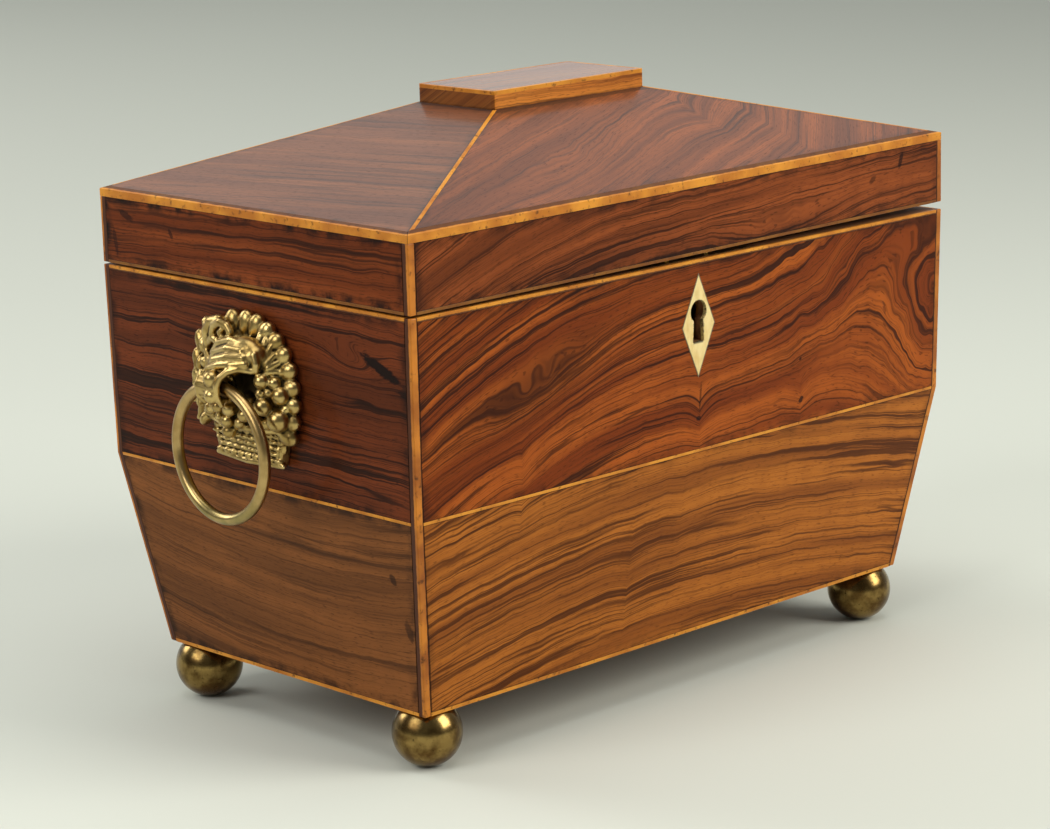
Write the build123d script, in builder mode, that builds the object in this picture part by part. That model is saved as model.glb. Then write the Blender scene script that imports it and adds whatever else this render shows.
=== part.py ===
from build123d import *
import math
import os

# An antique tea caddy of sarcophagus form, in millimetres. The origin is on the floor under its middle,
# the front faces -Y, the left end faces -X and +Z is up. The seam is where the lid meets the body.

os.makedirs("parts", exist_ok=True)

# Outside form of the body
body_width = 200.0
body_depth = 117.2
seam_height = 117.3
waist_height = 67.0
waist_inset = 0.7
base_inset = 9.0

# Carcass walls, measured level from the outside face to the inside face
wall_at_rim = 10.0
wall_at_base = 7.5
bottom_thickness = 6.0
bottom_rebate = 3.0

# Veneer and stringing
veneer = 1.0
corner_string = 2.2
rim_string = 1.1
waist_string = 0.8
base_string = 1.0
eave_string = 2.0
lid_rim_string = 0.8
hip_string = 1.0
block_string = 1.0
mitre_gap = 0.1

# Lid: it stands a little proud of the body at the left end, and by lid_rise more at the right end
lid_gap = 0.6
lid_rise = 1.5
lid_band = 19.2
deck_edge = 3.0
hip_rise = 17.5
block_width = 56.2
block_depth = 28.7
block_height = 4.8
block_corner = 1.2
velvet = 1.2
velvet_margin = 0.2

# Tea compartments
lining = 2.0
ledge_drop = 8.5
partition_thickness = 4.0
tin = 0.6
tin_fit = 0.1
inner_lid_thickness = 5.0
inner_lid_fit = 0.5
inner_lid_rest = 0.2
inner_lid_edge = 1.2

# Turned bone knobs on the compartment lids
knob_height = 8.0
knob_radius = 2.9
knob_flange_radius = 3.2
knob_flange = 0.8
knob_cove = 0.8
knob_neck_radius = 1.5
knob_peg_radius = 1.3
knob_peg_length = 4.0
peg_fit = 0.05

# Ball feet
foot_radius = 8.9
foot_flat_radius = 2.0
foot_seat_radius = 6.05
foot_side_inset = 16.0
foot_spike_radius = 1.5
foot_spike_length = 4.0
spike_fit = 0.05

# Butt hinges at the back edge
hinge_spacing = 124.0
hinge_length = 22.0
hinge_leaf_width = 8.0
hinge_leaf = 1.0
knuckle_radius = 1.8
knuckle_middle = 7.5
knuckle_end_gap = 0.25
knuckle_pocket_gap = 0.4
hinge_axis_out = 0.6
hinge_pin_radius = 0.75
hinge_pin_fit = 0.05
leaf_fit = 0.1

# Countersunk brass screws for the hinges, the lock and the link plate
screw_head_radius = 1.6
screw_shank_radius = 0.7
screw_length = 7.0
screw_head_height = 0.8
screw_fit = 0.05
hinge_screw_spacing = 14.0

# Escutcheon and keyhole
escutcheon_height = 27.4
escutcheon_width = 12.5
escutcheon_below_key = 3.7
escutcheon_proud = 0.1
escutcheon_bed = 0.02
keyhole_below_seam = 13.5
keyhole_radius = 3.0
keyhole_drop = 8.0
keyhole_neck = 3.1
keyhole_foot = 4.3
key_pin_radius = 1.0
key_pin_length = 3.8

# Lock: a brass box let into the inside of the front board
lock_wood = 2.0
lock_width = 34.0
lock_height = 22.0
lock_plate = 1.0
lock_cap = 0.8
lock_fit = 0.1
selvedge_width = 46.0
selvedge_depth = 8.0
selvedge = 1.5
selvedge_screw_spacing = 40.0

# Link plate and its two staples
link_plate_width = 40.0
link_plate_depth = 7.4
link_plate = 1.2
link_screw_spacing = 32.0
staple_spacing = 15.0
staple_thickness = 1.5
staple_width = 4.5
staple_reach = 7.35
staple_eye_width = 2.7
staple_eye_height = 2.7
staple_bar = 1.0
staple_slot_gap = 0.6

# Sliding bolt
bolt_thickness = 2.0
bolt_travel = 4.0
bolt_bar_height = 3.0
bolt_bar_gap = 1.1
bolt_arm = 2.5
bolt_nose_height = 1.9
bolt_nose_gap = 0.75
bolt_tail = 7.0
talon_width = 5.0
talon_height = 1.6
spring_thickness = 0.4
spring_width = 1.6
spring_gap = 0.3
spring_rise = 7.0
spring_bow_run = 3.0
spring_bow_drop = 1.8
spring_foot = 3.0

# Ring handles, one on each end
ring_below_seam = 22.3
ring_wire_radius = 1.5
ring_radius = 16.85
ring_standoff = 11.5
tunnel_gap = 0.35
lug_half_length = 4.6
lug_radius = 4.2
lug_end_radius = 3.5
lug_berry_radius = 2.2
lug_berry_standoff = 13.9

# Backplates, cast as a basket of fruit under a leafy hood, with a border of lobes
plate_below_ring = 2.0
plate_thickness = 1.6
plate_half_width = 15.7
plate_half_height = 17.4
arch_drop = 1.0
border_foot = 14.4
border_foot_drop = 13.6
lobe_radius = 2.4
lobe_relief = 2.4
lobe_count = 16
dome_half_width = 13.4
dome_half_height = 16.0
dome_height = 6.5
basket_rim_width = 28.0
basket_foot_width = 23.6
basket_rim_drop = 6.5
basket_foot_drop = 18.2
basket_relief = 4.2
basket_rib = 0.9
basket_rib_count = 4
berry_radius = 2.4
berry_standoff = 5.6
berry_circle = 7.4
berry_count = 3
berry_sweep = 130.0
fruit_radius = 3.0
fruit_standoff = 3.8
fruit_circle = 11.8
fruit_count = 2
fruit_sweep = 150.0
hood_radius = 3.6
hood_standoff = 6.4
hood_circle = 8.2
hood_sweep = 130.0
stud_radius = 1.6
stud_fit = 0.1
nut_size = 6.0
nut_thickness = 2.2
nut_depth = 8.0
nut_fit = 0.05
nut_gap = 0.3

half_width = body_width / 2
half_depth = body_depth / 2
foot_centre_height = math.sqrt(foot_radius**2 - foot_flat_radius**2)
base_height = foot_centre_height + math.sqrt(foot_radius**2 - foot_seat_radius**2)
floor_height = base_height + bottom_thickness
ledge_height = seam_height - ledge_drop
keyhole_height = seam_height - keyhole_below_seam
ring_height = seam_height - ring_below_seam
plate_middle_height = ring_height - plate_below_ring
lid_foot_height = seam_height + lid_gap
eave_height = lid_foot_height + lid_band
block_base_height = eave_height + hip_rise
block_top_height = block_base_height + block_height
deck_underside = eave_height - deck_edge
up = Vector(0, 0, 1)

# Each side: its outward direction, its distance from the middle and half its length at the seam
sides = {
    "front": (Vector(0, -1, 0), half_depth, half_width),
    "back": (Vector(0, 1, 0), half_depth, half_width),
    "left": (Vector(-1, 0, 0), half_width, half_depth),
    "right": (Vector(1, 0, 0), half_width, half_depth),
}
corners = [(x, y) for x in (-1, 1) for y in (-1, 1)]


def face_inset(z):
    """How far the outside face stands in from the seam's outline at a height."""
    if z >= waist_height:
        return waist_inset * (seam_height - z) / (seam_height - waist_height)
    share = (waist_height - z) / (waist_height - base_height)
    return waist_inset + (base_inset - waist_inset) * share


def wall_inset(z):
    """How far the inside face of the carcass stands in from the seam's outline at a height."""
    share = (seam_height - z) / (seam_height - base_height)
    return wall_at_rim + (base_inset + wall_at_base - wall_at_rim) * share


def levels(low, high):
    """The heights a body piece is drawn at: its ends, and the waist where it crosses that."""
    return [low, waist_height, high] if low < waist_height < high else [low, high]


def corner_plane(side, end, run_out=1.0, run_along=1.0):
    """The upright plane that trims a side's piece at one corner; its normal points away from the piece."""
    outward, out, along = sides[side]
    sideways = up.cross(outward) * end
    return Plane(
        origin=outward * out + sideways * along,
        z_dir=sideways * run_out - outward * run_along,
    )


def side_slab(side, low, high, outer, inner):
    """One side's slab between two heights and two inset lines, mitred at both corners."""
    outward, out, along = sides[side]
    outline = [(out - outer(z), z) for z in levels(low, high)]
    outline += [(out - inner(z), z) for z in reversed(levels(low, high))]
    with BuildSketch(Plane(origin=(0, 0, 0), x_dir=outward, z_dir=outward.cross(up))) as section:
        Polygon(*outline, align=None)
    extrude(section.sketch, amount=along, both=True)
    for end in (-1, 1):
        split(bisect_by=corner_plane(side, end), keep=Keep.BOTTOM)


def rim_block(low, high, inset, mode=Mode.ADD):
    """A four-sided block whose faces stand in from the seam's outline as inset says for each height."""
    outlines = []
    for z in levels(low, high):
        with BuildSketch(Plane.XY.offset(z)) as outline:
            Rectangle(body_width - 2 * inset(z), body_depth - 2 * inset(z))
        outlines.append(outline.sketch)
    loft(outlines, ruled=True, mode=mode)


def corner_rods(low, high, inset, mode=Mode.SUBTRACT):
    """Square rods flush with both faces at the four upright corners."""
    for x, y in corners:
        squares = []
        for z in levels(low, high):
            reach = inset(z) + corner_string / 2
            with BuildSketch(Plane.XY.offset(z)) as square:
                with Locations((x * (half_width - reach), y * (half_depth - reach))):
                    Rectangle(corner_string, corner_string)
            squares.append(square.sketch)
        loft(squares, ruled=True, mode=mode)


def mitre_kerfs(low, high, reach):
    """The joint lines of the four mitred corners, cut right through between two heights."""
    with BuildSketch(Plane.XY.offset(low)) as kerfs:
        for x, y in corners:
            with Locations(Location((x * half_width, y * half_depth, 0), (0, 0, 45 * x * y))):
                Rectangle(2 * reach * math.sqrt(2), mitre_gap)
    extrude(kerfs.sketch, amount=high - low, mode=Mode.SUBTRACT)


def no_inset(z):
    """The lid's sides are upright."""
    return 0.0


def panel_plane(side, z):
    """A plane on a side's upper panel, on its middle line at a height, facing outwards, Y upwards."""
    outward, out, along = sides[side]
    lean = math.atan(waist_inset / (seam_height - waist_height))
    normal = outward * math.cos(lean) - up * math.sin(lean)
    return Plane(origin=outward * (out - face_inset(z)) + up * z, x_dir=up.cross(normal), z_dir=normal)


# The lid is built level and then seated: its hinges, let in unevenly, leave its right end proud
lid_lean = math.degrees(math.asin(lid_rise / body_width))
lid_pivot = Location((-half_width, 0, lid_foot_height))
lid_seat = lid_pivot * Location((0, 0, 0), (0, -lid_lean, 0)) * lid_pivot.inverse()

# Hinge axis, just outside the back face and halfway up the gap behind the lid's middle
hinge_axis_y = half_depth + hinge_axis_out
hinge_axis_height = seam_height + (lid_gap + lid_rise / 2) / 2
hinge_places = (-hinge_spacing / 2, hinge_spacing / 2)
leaf_end_y = half_depth - hinge_leaf_width
leaf_middle_y = (half_depth + leaf_end_y) / 2


def lid_leaf_height(x):
    """The height of a lid leaf's lower face: flush with the seated lid's underside at that hinge."""
    return lid_foot_height + lid_rise * (x + half_width) / body_width


def knuckle_pockets():
    """Round recesses along the back edge that the hinge knuckles turn in."""
    for x in hinge_places:
        with BuildSketch(Plane.YZ.offset(x)) as pocket:
            with Locations((hinge_axis_y, hinge_axis_height)):
                Circle(knuckle_radius + knuckle_pocket_gap)
        reach = hinge_length / 2 + knuckle_pocket_gap
        extrude(pocket.sketch, amount=reach, both=True, mode=Mode.SUBTRACT)


def leaf_mortise(x, low, high):
    """The bed for one hinge leaf, let into the wood between two heights."""
    with BuildSketch(Plane.XY.offset(low)) as bed:
        with Locations((x, (hinge_axis_y + leaf_end_y - leaf_fit) / 2)):
            Rectangle(hinge_length + 2 * leaf_fit, hinge_axis_y - leaf_end_y + leaf_fit)
    extrude(bed.sketch, amount=high - low, mode=Mode.SUBTRACT)


def pilot_holes(places, z, direction):
    """Holes for countersunk screws whose heads lie at height z, driven up (1) or down (-1)."""
    with BuildSketch(Plane.XY.offset(z)) as holes:
        with Locations(*places):
            Circle(screw_shank_radius + screw_fit)
    extrude(holes.sketch, amount=direction * screw_length, mode=Mode.SUBTRACT)


def screws(places, z, direction):
    """Countersunk screws with their flat heads at height z, driven up (1) or down (-1)."""
    for x, y in places:
        with BuildSketch(Plane(origin=(x, y, z), x_dir=(1, 0, 0), z_dir=(0, -1, 0))) as profile:
            Polygon(
                (0, 0),
                (screw_head_radius, 0),
                (screw_shank_radius, direction * screw_head_height),
                (screw_shank_radius, direction * screw_length),
                (0, direction * screw_length),
                align=None,
            )
        revolve(profile.sketch, axis=Axis((x, y, z), (0, 0, 1)))


def countersinks(places, z, direction):
    """Cone seats in a brass plate for the screw heads at height z."""
    for x, y in places:
        with BuildSketch(Plane(origin=(x, y, z), x_dir=(1, 0, 0), z_dir=(0, -1, 0))) as profile:
            Polygon(
                (0, 0),
                (screw_head_radius + screw_fit, 0),
                (screw_shank_radius + screw_fit, direction * screw_head_height),
                (screw_shank_radius + screw_fit, direction * screw_length),
                (0, direction * screw_length),
                align=None,
            )
        revolve(profile.sketch, axis=Axis((x, y, z), (0, 0, 1)), mode=Mode.SUBTRACT)


def hinge_screw_places(x):
    """The two screws of one hinge leaf."""
    return [(x + s * hinge_screw_spacing / 2, leaf_middle_y) for s in (-1, 1)]


# Lock layout, from the inside face of the front board outwards
lock_inside_y = wall_at_rim - half_depth
lock_outside_y = veneer + lock_wood - half_depth
lock_top = seam_height - selvedge
lock_foot = lock_top - lock_height
cavity_inside_y = lock_inside_y - lock_plate
cavity_outside_y = lock_outside_y + lock_cap
lock_middle_y = (cavity_inside_y + cavity_outside_y) / 2
selvedge_middle_y = lock_inside_y - selvedge_depth / 2
selvedge_screw_places = [(s * selvedge_screw_spacing / 2, selvedge_middle_y) for s in (-1, 1)]
link_plate_height = lid_foot_height + lid_rise / 2
link_screw_places = [(s * link_screw_spacing / 2, lock_middle_y) for s in (-1, 1)]
staple_foot = link_plate_height - staple_reach
staple_places = (-staple_spacing / 2, staple_spacing / 2)


def keyhole_outline(mode=Mode.ADD):
    """A round hole over a slot that flares to its foot, drawn about the key's axis."""
    Circle(keyhole_radius, mode=mode)
    Polygon(
        (-keyhole_neck / 2, 0),
        (keyhole_neck / 2, 0),
        (keyhole_foot / 2, -keyhole_drop),
        (-keyhole_foot / 2, -keyhole_drop),
        align=None,
        mode=mode,
    )


def diamond_outline():
    """The lozenge of the escutcheon, drawn about the key's axis."""
    Polygon(
        (0, escutcheon_height / 2 - escutcheon_below_key),
        (escutcheon_width / 2, -escutcheon_below_key),
        (0, -escutcheon_height / 2 - escutcheon_below_key),
        (-escutcheon_width / 2, -escutcheon_below_key),
        align=None,
    )


# Carcass boards, mitred at the corners, with the foot rebated for the bottom board
for side in sides:
    with BuildPart() as board:
        side_slab(
            side, base_height, seam_height, lambda z: face_inset(z) + veneer, wall_inset
        )
        corner_rods(base_height, seam_height, face_inset)
        with BuildSketch(Plane.XY.offset(base_height)):
            margin = 2 * (base_inset + wall_at_base - bottom_rebate)
            Rectangle(body_width - margin, body_depth - margin)
        extrude(amount=bottom_thickness, mode=Mode.SUBTRACT)
        if side == "front":
            with BuildSketch(Plane.XY.offset(lock_foot - lock_fit)):
                with Locations((0, (lock_outside_y - lock_fit) / 2)):
                    Rectangle(lock_width + 2 * lock_fit, -lock_outside_y + lock_fit)
            extrude(amount=lock_height + selvedge + lock_fit, mode=Mode.SUBTRACT)
            with BuildSketch(Plane.XY.offset(seam_height - selvedge)):
                with Locations((0, selvedge_middle_y)):
                    Rectangle(selvedge_width + 2 * lock_fit, selvedge_depth + 2 * lock_fit)
            extrude(amount=selvedge, mode=Mode.SUBTRACT)
            with BuildSketch(panel_plane("front", keyhole_height)):
                keyhole_outline()
            extrude(amount=-(veneer + lock_wood + lock_fit), mode=Mode.SUBTRACT)
            pilot_holes(selvedge_screw_places, seam_height, -1)
        if side == "back":
            knuckle_pockets()
            for x in hinge_places:
                leaf_mortise(x, seam_height - hinge_leaf, seam_height)
                pilot_holes(hinge_screw_places(x), seam_height, -1)
        if side in ("left", "right"):
            with BuildSketch(panel_plane(side, plate_middle_height)):
                Circle(stud_radius + stud_fit)
            extrude(amount=-2 * wall_at_rim, mode=Mode.SUBTRACT)
            with BuildSketch(panel_plane(side, plate_middle_height).offset(-nut_depth)):
                Circle(nut_size / math.sqrt(2) + nut_gap)
            extrude(amount=-wall_at_rim, mode=Mode.SUBTRACT)
    name = f"{side}_board" if side in ("front", "back") else f"{side}_end_board"
    board.part.label = name
    export_step(board.part, f"parts/{name}.step")

foot_places = [
    (x * (half_width - foot_side_inset), y * (half_depth - foot_side_inset)) for x, y in corners
]

with BuildPart() as bottom_board:
    with BuildSketch(Plane.XY.offset(base_height)):
        margin = 2 * (base_inset + wall_at_base - bottom_rebate)
        Rectangle(body_width - margin, body_depth - margin)
        with Locations(*foot_places):
            Circle(foot_spike_radius + spike_fit, mode=Mode.SUBTRACT)
    extrude(amount=bottom_thickness)
bottom_board.part.label = "bottom_board"
export_step(bottom_board.part, "parts/bottom_board.step")

# Veneers: an upper and a lower panel on each side, each stopping against the stringing
panels = {
    "upper": (waist_height + waist_string / 2, seam_height - rim_string),
    "lower": (base_height + base_string, waist_height - waist_string / 2),
}
for side in ("front", "left", "right"):
    for panel, (low, high) in panels.items():
        with BuildPart() as body_veneer:
            side_slab(side, low, high, face_inset, lambda z: face_inset(z) + veneer)
            corner_rods(base_height, seam_height, face_inset)
            if (side, panel) == ("front", "upper"):
                with BuildSketch(panel_plane("front", keyhole_height)):
                    diamond_outline()
                extrude(amount=2 * veneer, both=True, mode=Mode.SUBTRACT)
            elif panel == "upper":
                with BuildSketch(panel_plane(side, plate_middle_height)):
                    Circle(stud_radius + stud_fit)
                extrude(amount=2 * veneer, both=True, mode=Mode.SUBTRACT)
        body_veneer.part.label = f"{side}_{panel}_veneer"
        export_step(body_veneer.part, f"parts/{body_veneer.part.label}.step")

# The back's two panels are one node of two solids
with BuildPart() as back_veneers:
    side_slab("back", base_height, seam_height, face_inset, lambda z: face_inset(z) + veneer)
    corner_rods(base_height, seam_height, face_inset)
    for z, height in (
        (base_height, base_string),
        (waist_height - waist_string / 2, waist_string),
        (seam_height - rim_string, rim_string),
    ):
        with BuildSketch(Plane.XY.offset(z)):
            Rectangle(2 * body_width, 2 * body_depth)
        extrude(amount=height, mode=Mode.SUBTRACT)
    knuckle_pockets()
    for x in hinge_places:
        leaf_mortise(x, seam_height - hinge_leaf, seam_height)
back_veneers.part.label = "back_veneers"
export_step(back_veneers.part, "parts/back_veneers.step")

with BuildPart() as body_corner_stringing:
    corner_rods(base_height, seam_height, face_inset, mode=Mode.ADD)
body_corner_stringing.part.label = "body_corner_stringing"
export_step(body_corner_stringing.part, "parts/body_corner_stringing.step")

# Level stringing at the base, the waist and the rim, let in between the corner rods on all four sides
with BuildPart() as body_cross_stringing:
    for z, height in (
        (base_height, base_string),
        (waist_height - waist_string / 2, waist_string),
        (seam_height - rim_string, rim_string),
    ):
        rim_block(z, z + height, face_inset)
    rim_block(base_height, seam_height, lambda z: face_inset(z) + veneer, mode=Mode.SUBTRACT)
    corner_rods(base_height, seam_height, face_inset)
    knuckle_pockets()
    for x in hinge_places:
        leaf_mortise(x, seam_height - hinge_leaf, seam_height)
body_cross_stringing.part.label = "body_cross_stringing"
export_step(body_cross_stringing.part, "parts/body_cross_stringing.step")

with BuildPart() as escutcheon:
    with BuildSketch(panel_plane("front", keyhole_height).offset(escutcheon_proud)):
        diamond_outline()
        keyhole_outline(mode=Mode.SUBTRACT)
    extrude(amount=escutcheon_bed - veneer - escutcheon_proud)
escutcheon.part.label = "escutcheon"
export_step(escutcheon.part, "parts/escutcheon.step")

# Ball feet: each ball is cut flat under the body, has a small worn flat below and a spike above
foot_names = {
    (-1, -1): "front_left_foot",
    (1, -1): "front_right_foot",
    (-1, 1): "back_left_foot",
    (1, 1): "back_right_foot",
}
for (x, y), name in foot_names.items():
    foot_x = x * (half_width - foot_side_inset)
    foot_y = y * (half_depth - foot_side_inset)
    with BuildPart() as foot:
        with BuildSketch(Plane(origin=(foot_x, foot_y, 0), x_dir=(1, 0, 0), z_dir=(0, -1, 0))):
            with BuildLine():
                Polyline((0, 0), (foot_flat_radius, 0))
                ThreePointArc(
                    (foot_flat_radius, 0),
                    (foot_radius, foot_centre_height),
                    (foot_seat_radius, base_height),
                )
                Polyline(
                    (foot_seat_radius, base_height),
                    (foot_spike_radius, base_height),
                    (foot_spike_radius, base_height + foot_spike_length - foot_spike_radius),
                    (0, base_height + foot_spike_length),
                    (0, 0),
                )
            make_face()
        revolve(axis=Axis((foot_x, foot_y, 0), (0, 0, 1)))
    foot.part.label = name
    export_step(foot.part, f"parts/{name}.step")


def lining_inset(z):
    """How far the lining's inside face stands in from the seam's outline at a height."""
    return wall_inset(z) + lining


# Thin lining boards stand on the bottom board; their top edges are the ledge for the compartment lids
with BuildPart() as lining_boards:
    rim_block(floor_height, ledge_height, wall_inset)
    rim_block(floor_height, ledge_height, lining_inset, mode=Mode.SUBTRACT)
    mitre_kerfs(floor_height, ledge_height, base_inset + wall_at_base + lining + wall_at_rim)
lining_boards.part.label = "lining_boards"
export_step(lining_boards.part, "parts/lining_boards.step")

with BuildPart() as partition:
    with BuildSketch(Plane.YZ):
        with BuildLine():
            Polyline(
                (lining_inset(floor_height) - half_depth, floor_height),
                (half_depth - lining_inset(floor_height), floor_height),
                (half_depth - lining_inset(ledge_height), ledge_height),
                (lining_inset(ledge_height) - half_depth, ledge_height),
                close=True,
            )
        make_face()
    extrude(amount=partition_thickness / 2, both=True)
partition.part.label = "partition"
export_step(partition.part, "parts/partition.step")


def compartment(sign, low, high, shrink, mode=Mode.ADD):
    """The space of one tea compartment between two heights, drawn in on every side by shrink."""
    outlines = []
    for z in (low, high):
        far = half_width - lining_inset(z) - shrink
        near = partition_thickness / 2 + shrink
        with BuildSketch(Plane.XY.offset(z)) as outline:
            with Locations((sign * (far + near) / 2, 0)):
                Rectangle(far - near, 2 * (half_depth - lining_inset(z) - shrink))
        outlines.append(outline.sketch)
    loft(outlines, ruled=True, mode=mode)


for sign, end in ((-1, "left"), (1, "right")):
    # A tin liner with an open top
    with BuildPart() as tin_liner:
        compartment(sign, floor_height, ledge_height, tin_fit)
        compartment(sign, floor_height + tin, ledge_height, tin_fit + tin, mode=Mode.SUBTRACT)
    tin_liner.part.label = f"{end}_tin_liner"
    export_step(tin_liner.part, f"parts/{end}_tin_liner.step")

    # A lift-out lid resting on the ledge
    lid_far = half_width - wall_inset(ledge_height) - inner_lid_fit
    lid_near = inner_lid_fit / 2
    lid_middle = sign * (lid_far + lid_near) / 2
    with BuildPart() as inner_lid:
        with BuildSketch(Plane.XY.offset(ledge_height + inner_lid_rest)):
            with Locations((lid_middle, 0)):
                Rectangle(
                    lid_far - lid_near,
                    2 * (half_depth - wall_inset(ledge_height) - inner_lid_fit),
                )
        extrude(amount=inner_lid_thickness)
        fillet(inner_lid.faces().sort_by(Axis.Z)[-1].edges(), radius=inner_lid_edge)
        with Locations((lid_middle, 0, ledge_height + inner_lid_rest + inner_lid_thickness)):
            Hole(radius=knob_peg_radius + peg_fit, depth=knob_peg_length + peg_fit)
    inner_lid.part.label = f"{end}_compartment_lid"
    export_step(inner_lid.part, f"parts/{end}_compartment_lid.step")

    # Its turned knob: peg, flange, neck and ball
    with BuildPart() as knob:
        knob_base = ledge_height + inner_lid_rest + inner_lid_thickness
        ball_height = knob_height - knob_radius
        neck_top = ball_height - math.sqrt(knob_radius**2 - knob_neck_radius**2)
        with BuildSketch(
            Plane(origin=(lid_middle, 0, knob_base), x_dir=(1, 0, 0), z_dir=(0, -1, 0))
        ):
            with BuildLine():
                Polyline(
                    (0, knob_height),
                    (0, -knob_peg_length),
                    (knob_peg_radius, -knob_peg_length),
                    (knob_peg_radius, 0),
                    (knob_flange_radius, 0),
                    (knob_flange_radius, knob_flange),
                    (knob_neck_radius, knob_flange + knob_cove),
                    (knob_neck_radius, neck_top),
                )
                ThreePointArc(
                    (knob_neck_radius, neck_top),
                    (knob_radius, ball_height),
                    (0, knob_height),
                )
            make_face()
        revolve(axis=Axis((lid_middle, 0, 0), (0, 0, 1)))
    knob.part.label = f"{end}_compartment_knob"
    export_step(knob.part, f"parts/{end}_compartment_knob.step")

# Lid rails, mitred at the corners
for side in sides:
    with BuildPart() as level_rail:
        side_slab(side, lid_foot_height, deck_underside, lambda z: veneer, lambda z: wall_at_rim)
        corner_rods(lid_foot_height, eave_height, no_inset)
        if side == "front":
            with BuildSketch(Plane.XY.offset(lid_foot_height)):
                with Locations((0, lock_middle_y)):
                    Rectangle(link_plate_width + 2 * lock_fit, link_plate_depth + 2 * lock_fit)
            extrude(amount=link_plate, mode=Mode.SUBTRACT)
            pilot_holes(link_screw_places, lid_foot_height, 1)
    with BuildPart() as rail:
        add(level_rail.part.moved(lid_seat))
        if side == "back":
            knuckle_pockets()
            for x in hinge_places:
                leaf_mortise(x, seam_height, lid_leaf_height(x) + hinge_leaf)
                pilot_holes(hinge_screw_places(x), lid_leaf_height(x), 1)
    rail.part.label = f"lid_{side}_rail"
    export_step(rail.part, f"parts/{rail.part.label}.step")

    # Band veneer over the rail, between the rim string, the corner rods and the eave string
    with BuildPart() as level_band:
        band_foot = lid_foot_height + lid_rim_string
        side_slab(side, band_foot, eave_height - eave_string, no_inset, lambda z: veneer)
        corner_rods(lid_foot_height, eave_height, no_inset)
    with BuildPart() as band:
        add(level_band.part.moved(lid_seat))
        if side == "back":
            knuckle_pockets()
            for x in hinge_places:
                leaf_mortise(x, seam_height, lid_leaf_height(x) + hinge_leaf)
    band.part.label = f"lid_{side}_band_veneer"
    export_step(band.part, f"parts/{band.part.label}.step")


def hip(drop, foot, mode=Mode.ADD):
    """The lid's form from a level foot up to the four slopes, with the slopes lowered by drop."""
    with BuildSketch(Plane.XY.offset(eave_height - drop)) as eave:
        Rectangle(body_width, body_depth)
    with BuildSketch(Plane.XY.offset(block_base_height - drop)) as ridge:
        Rectangle(block_width, block_depth)
    loft([eave.sketch, ridge.sketch], ruled=True, mode=mode)
    extrude(eave.sketch, amount=foot + drop - eave_height, mode=mode)


def keep_inside(inset):
    """Trim the part to the lid's outline drawn in by inset."""
    with BuildSketch(Plane.XY.offset(lid_foot_height)) as outline:
        Rectangle(body_width - 2 * inset, body_depth - 2 * inset)
    extrude(outline.sketch, amount=block_top_height, mode=Mode.INTERSECT)


# The deck is one thick board planed to the four slopes
with BuildPart() as level_deck:
    hip(veneer, eave_height - eave_string)
    keep_inside(eave_string)
    with BuildSketch(Plane.XY.offset(deck_underside)):
        Rectangle(body_width - 2 * veneer, body_depth - 2 * veneer)
    extrude(amount=deck_edge - eave_string)
    corner_rods(deck_underside, eave_height, no_inset)
with BuildPart() as lid_deck:
    add(level_deck.part.moved(lid_seat))
lid_deck.part.label = "lid_deck"
export_step(lid_deck.part, "parts/lid_deck.step")

hip_out = half_depth - block_depth / 2
hip_along = half_width - block_width / 2


def slope_shell():
    """The veneer's thickness over all four slopes, open where the block stands."""
    hip(0.0, eave_height - eave_string)
    hip(veneer, eave_height - 2 * eave_string, mode=Mode.SUBTRACT)
    with BuildSketch(Plane.XY.offset(eave_height)) as block_seat:
        Rectangle(block_width, block_depth)
    extrude(block_seat.sketch, amount=block_top_height, mode=Mode.SUBTRACT)
    keep_inside(eave_string)


for side in sides:
    runs = (hip_out, hip_along) if side in ("front", "back") else (hip_along, hip_out)
    with BuildPart() as level_slope:
        slope_shell()
        for end in (-1, 1):
            split(
                bisect_by=corner_plane(side, end, *runs).offset(-hip_string / 2),
                keep=Keep.BOTTOM,
            )
    with BuildPart() as slope:
        add(level_slope.part.moved(lid_seat))
    slope.part.label = f"lid_{side}_slope_veneer"
    export_step(slope.part, f"parts/{slope.part.label}.step")

# Strings along the four hips, and a string round the block's top edge
with BuildPart() as level_top_stringing:
    slope_shell()
    hip_angle = math.degrees(math.atan2(hip_out, hip_along))
    with BuildSketch(Plane.XY.offset(eave_height - eave_string)):
        for x, y in corners:
            middle = (
                x * (half_width + block_width / 2) / 2,
                y * (half_depth + block_depth / 2) / 2,
                0,
            )
            with Locations(Location(middle, (0, 0, hip_angle * x * y))):
                Rectangle(math.hypot(hip_out, hip_along) + 2 * hip_string, hip_string)
    extrude(amount=block_top_height, mode=Mode.INTERSECT)
    with BuildSketch(Plane.XY.offset(block_top_height - block_string)):
        RectangleRounded(block_width, block_depth, block_corner)
        Rectangle(block_width - 2 * block_string, block_depth - 2 * block_string, mode=Mode.SUBTRACT)
    extrude(amount=block_string)
with BuildPart() as lid_top_stringing:
    add(level_top_stringing.part.moved(lid_seat))
lid_top_stringing.part.label = "lid_top_stringing"
export_step(lid_top_stringing.part, "parts/lid_top_stringing.step")

with BuildPart() as level_corner_stringing:
    corner_rods(lid_foot_height, eave_height - eave_string, no_inset, mode=Mode.ADD)
with BuildPart() as lid_corner_stringing:
    add(level_corner_stringing.part.moved(lid_seat))
lid_corner_stringing.part.label = "lid_corner_stringing"
export_step(lid_corner_stringing.part, "parts/lid_corner_stringing.step")

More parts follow.
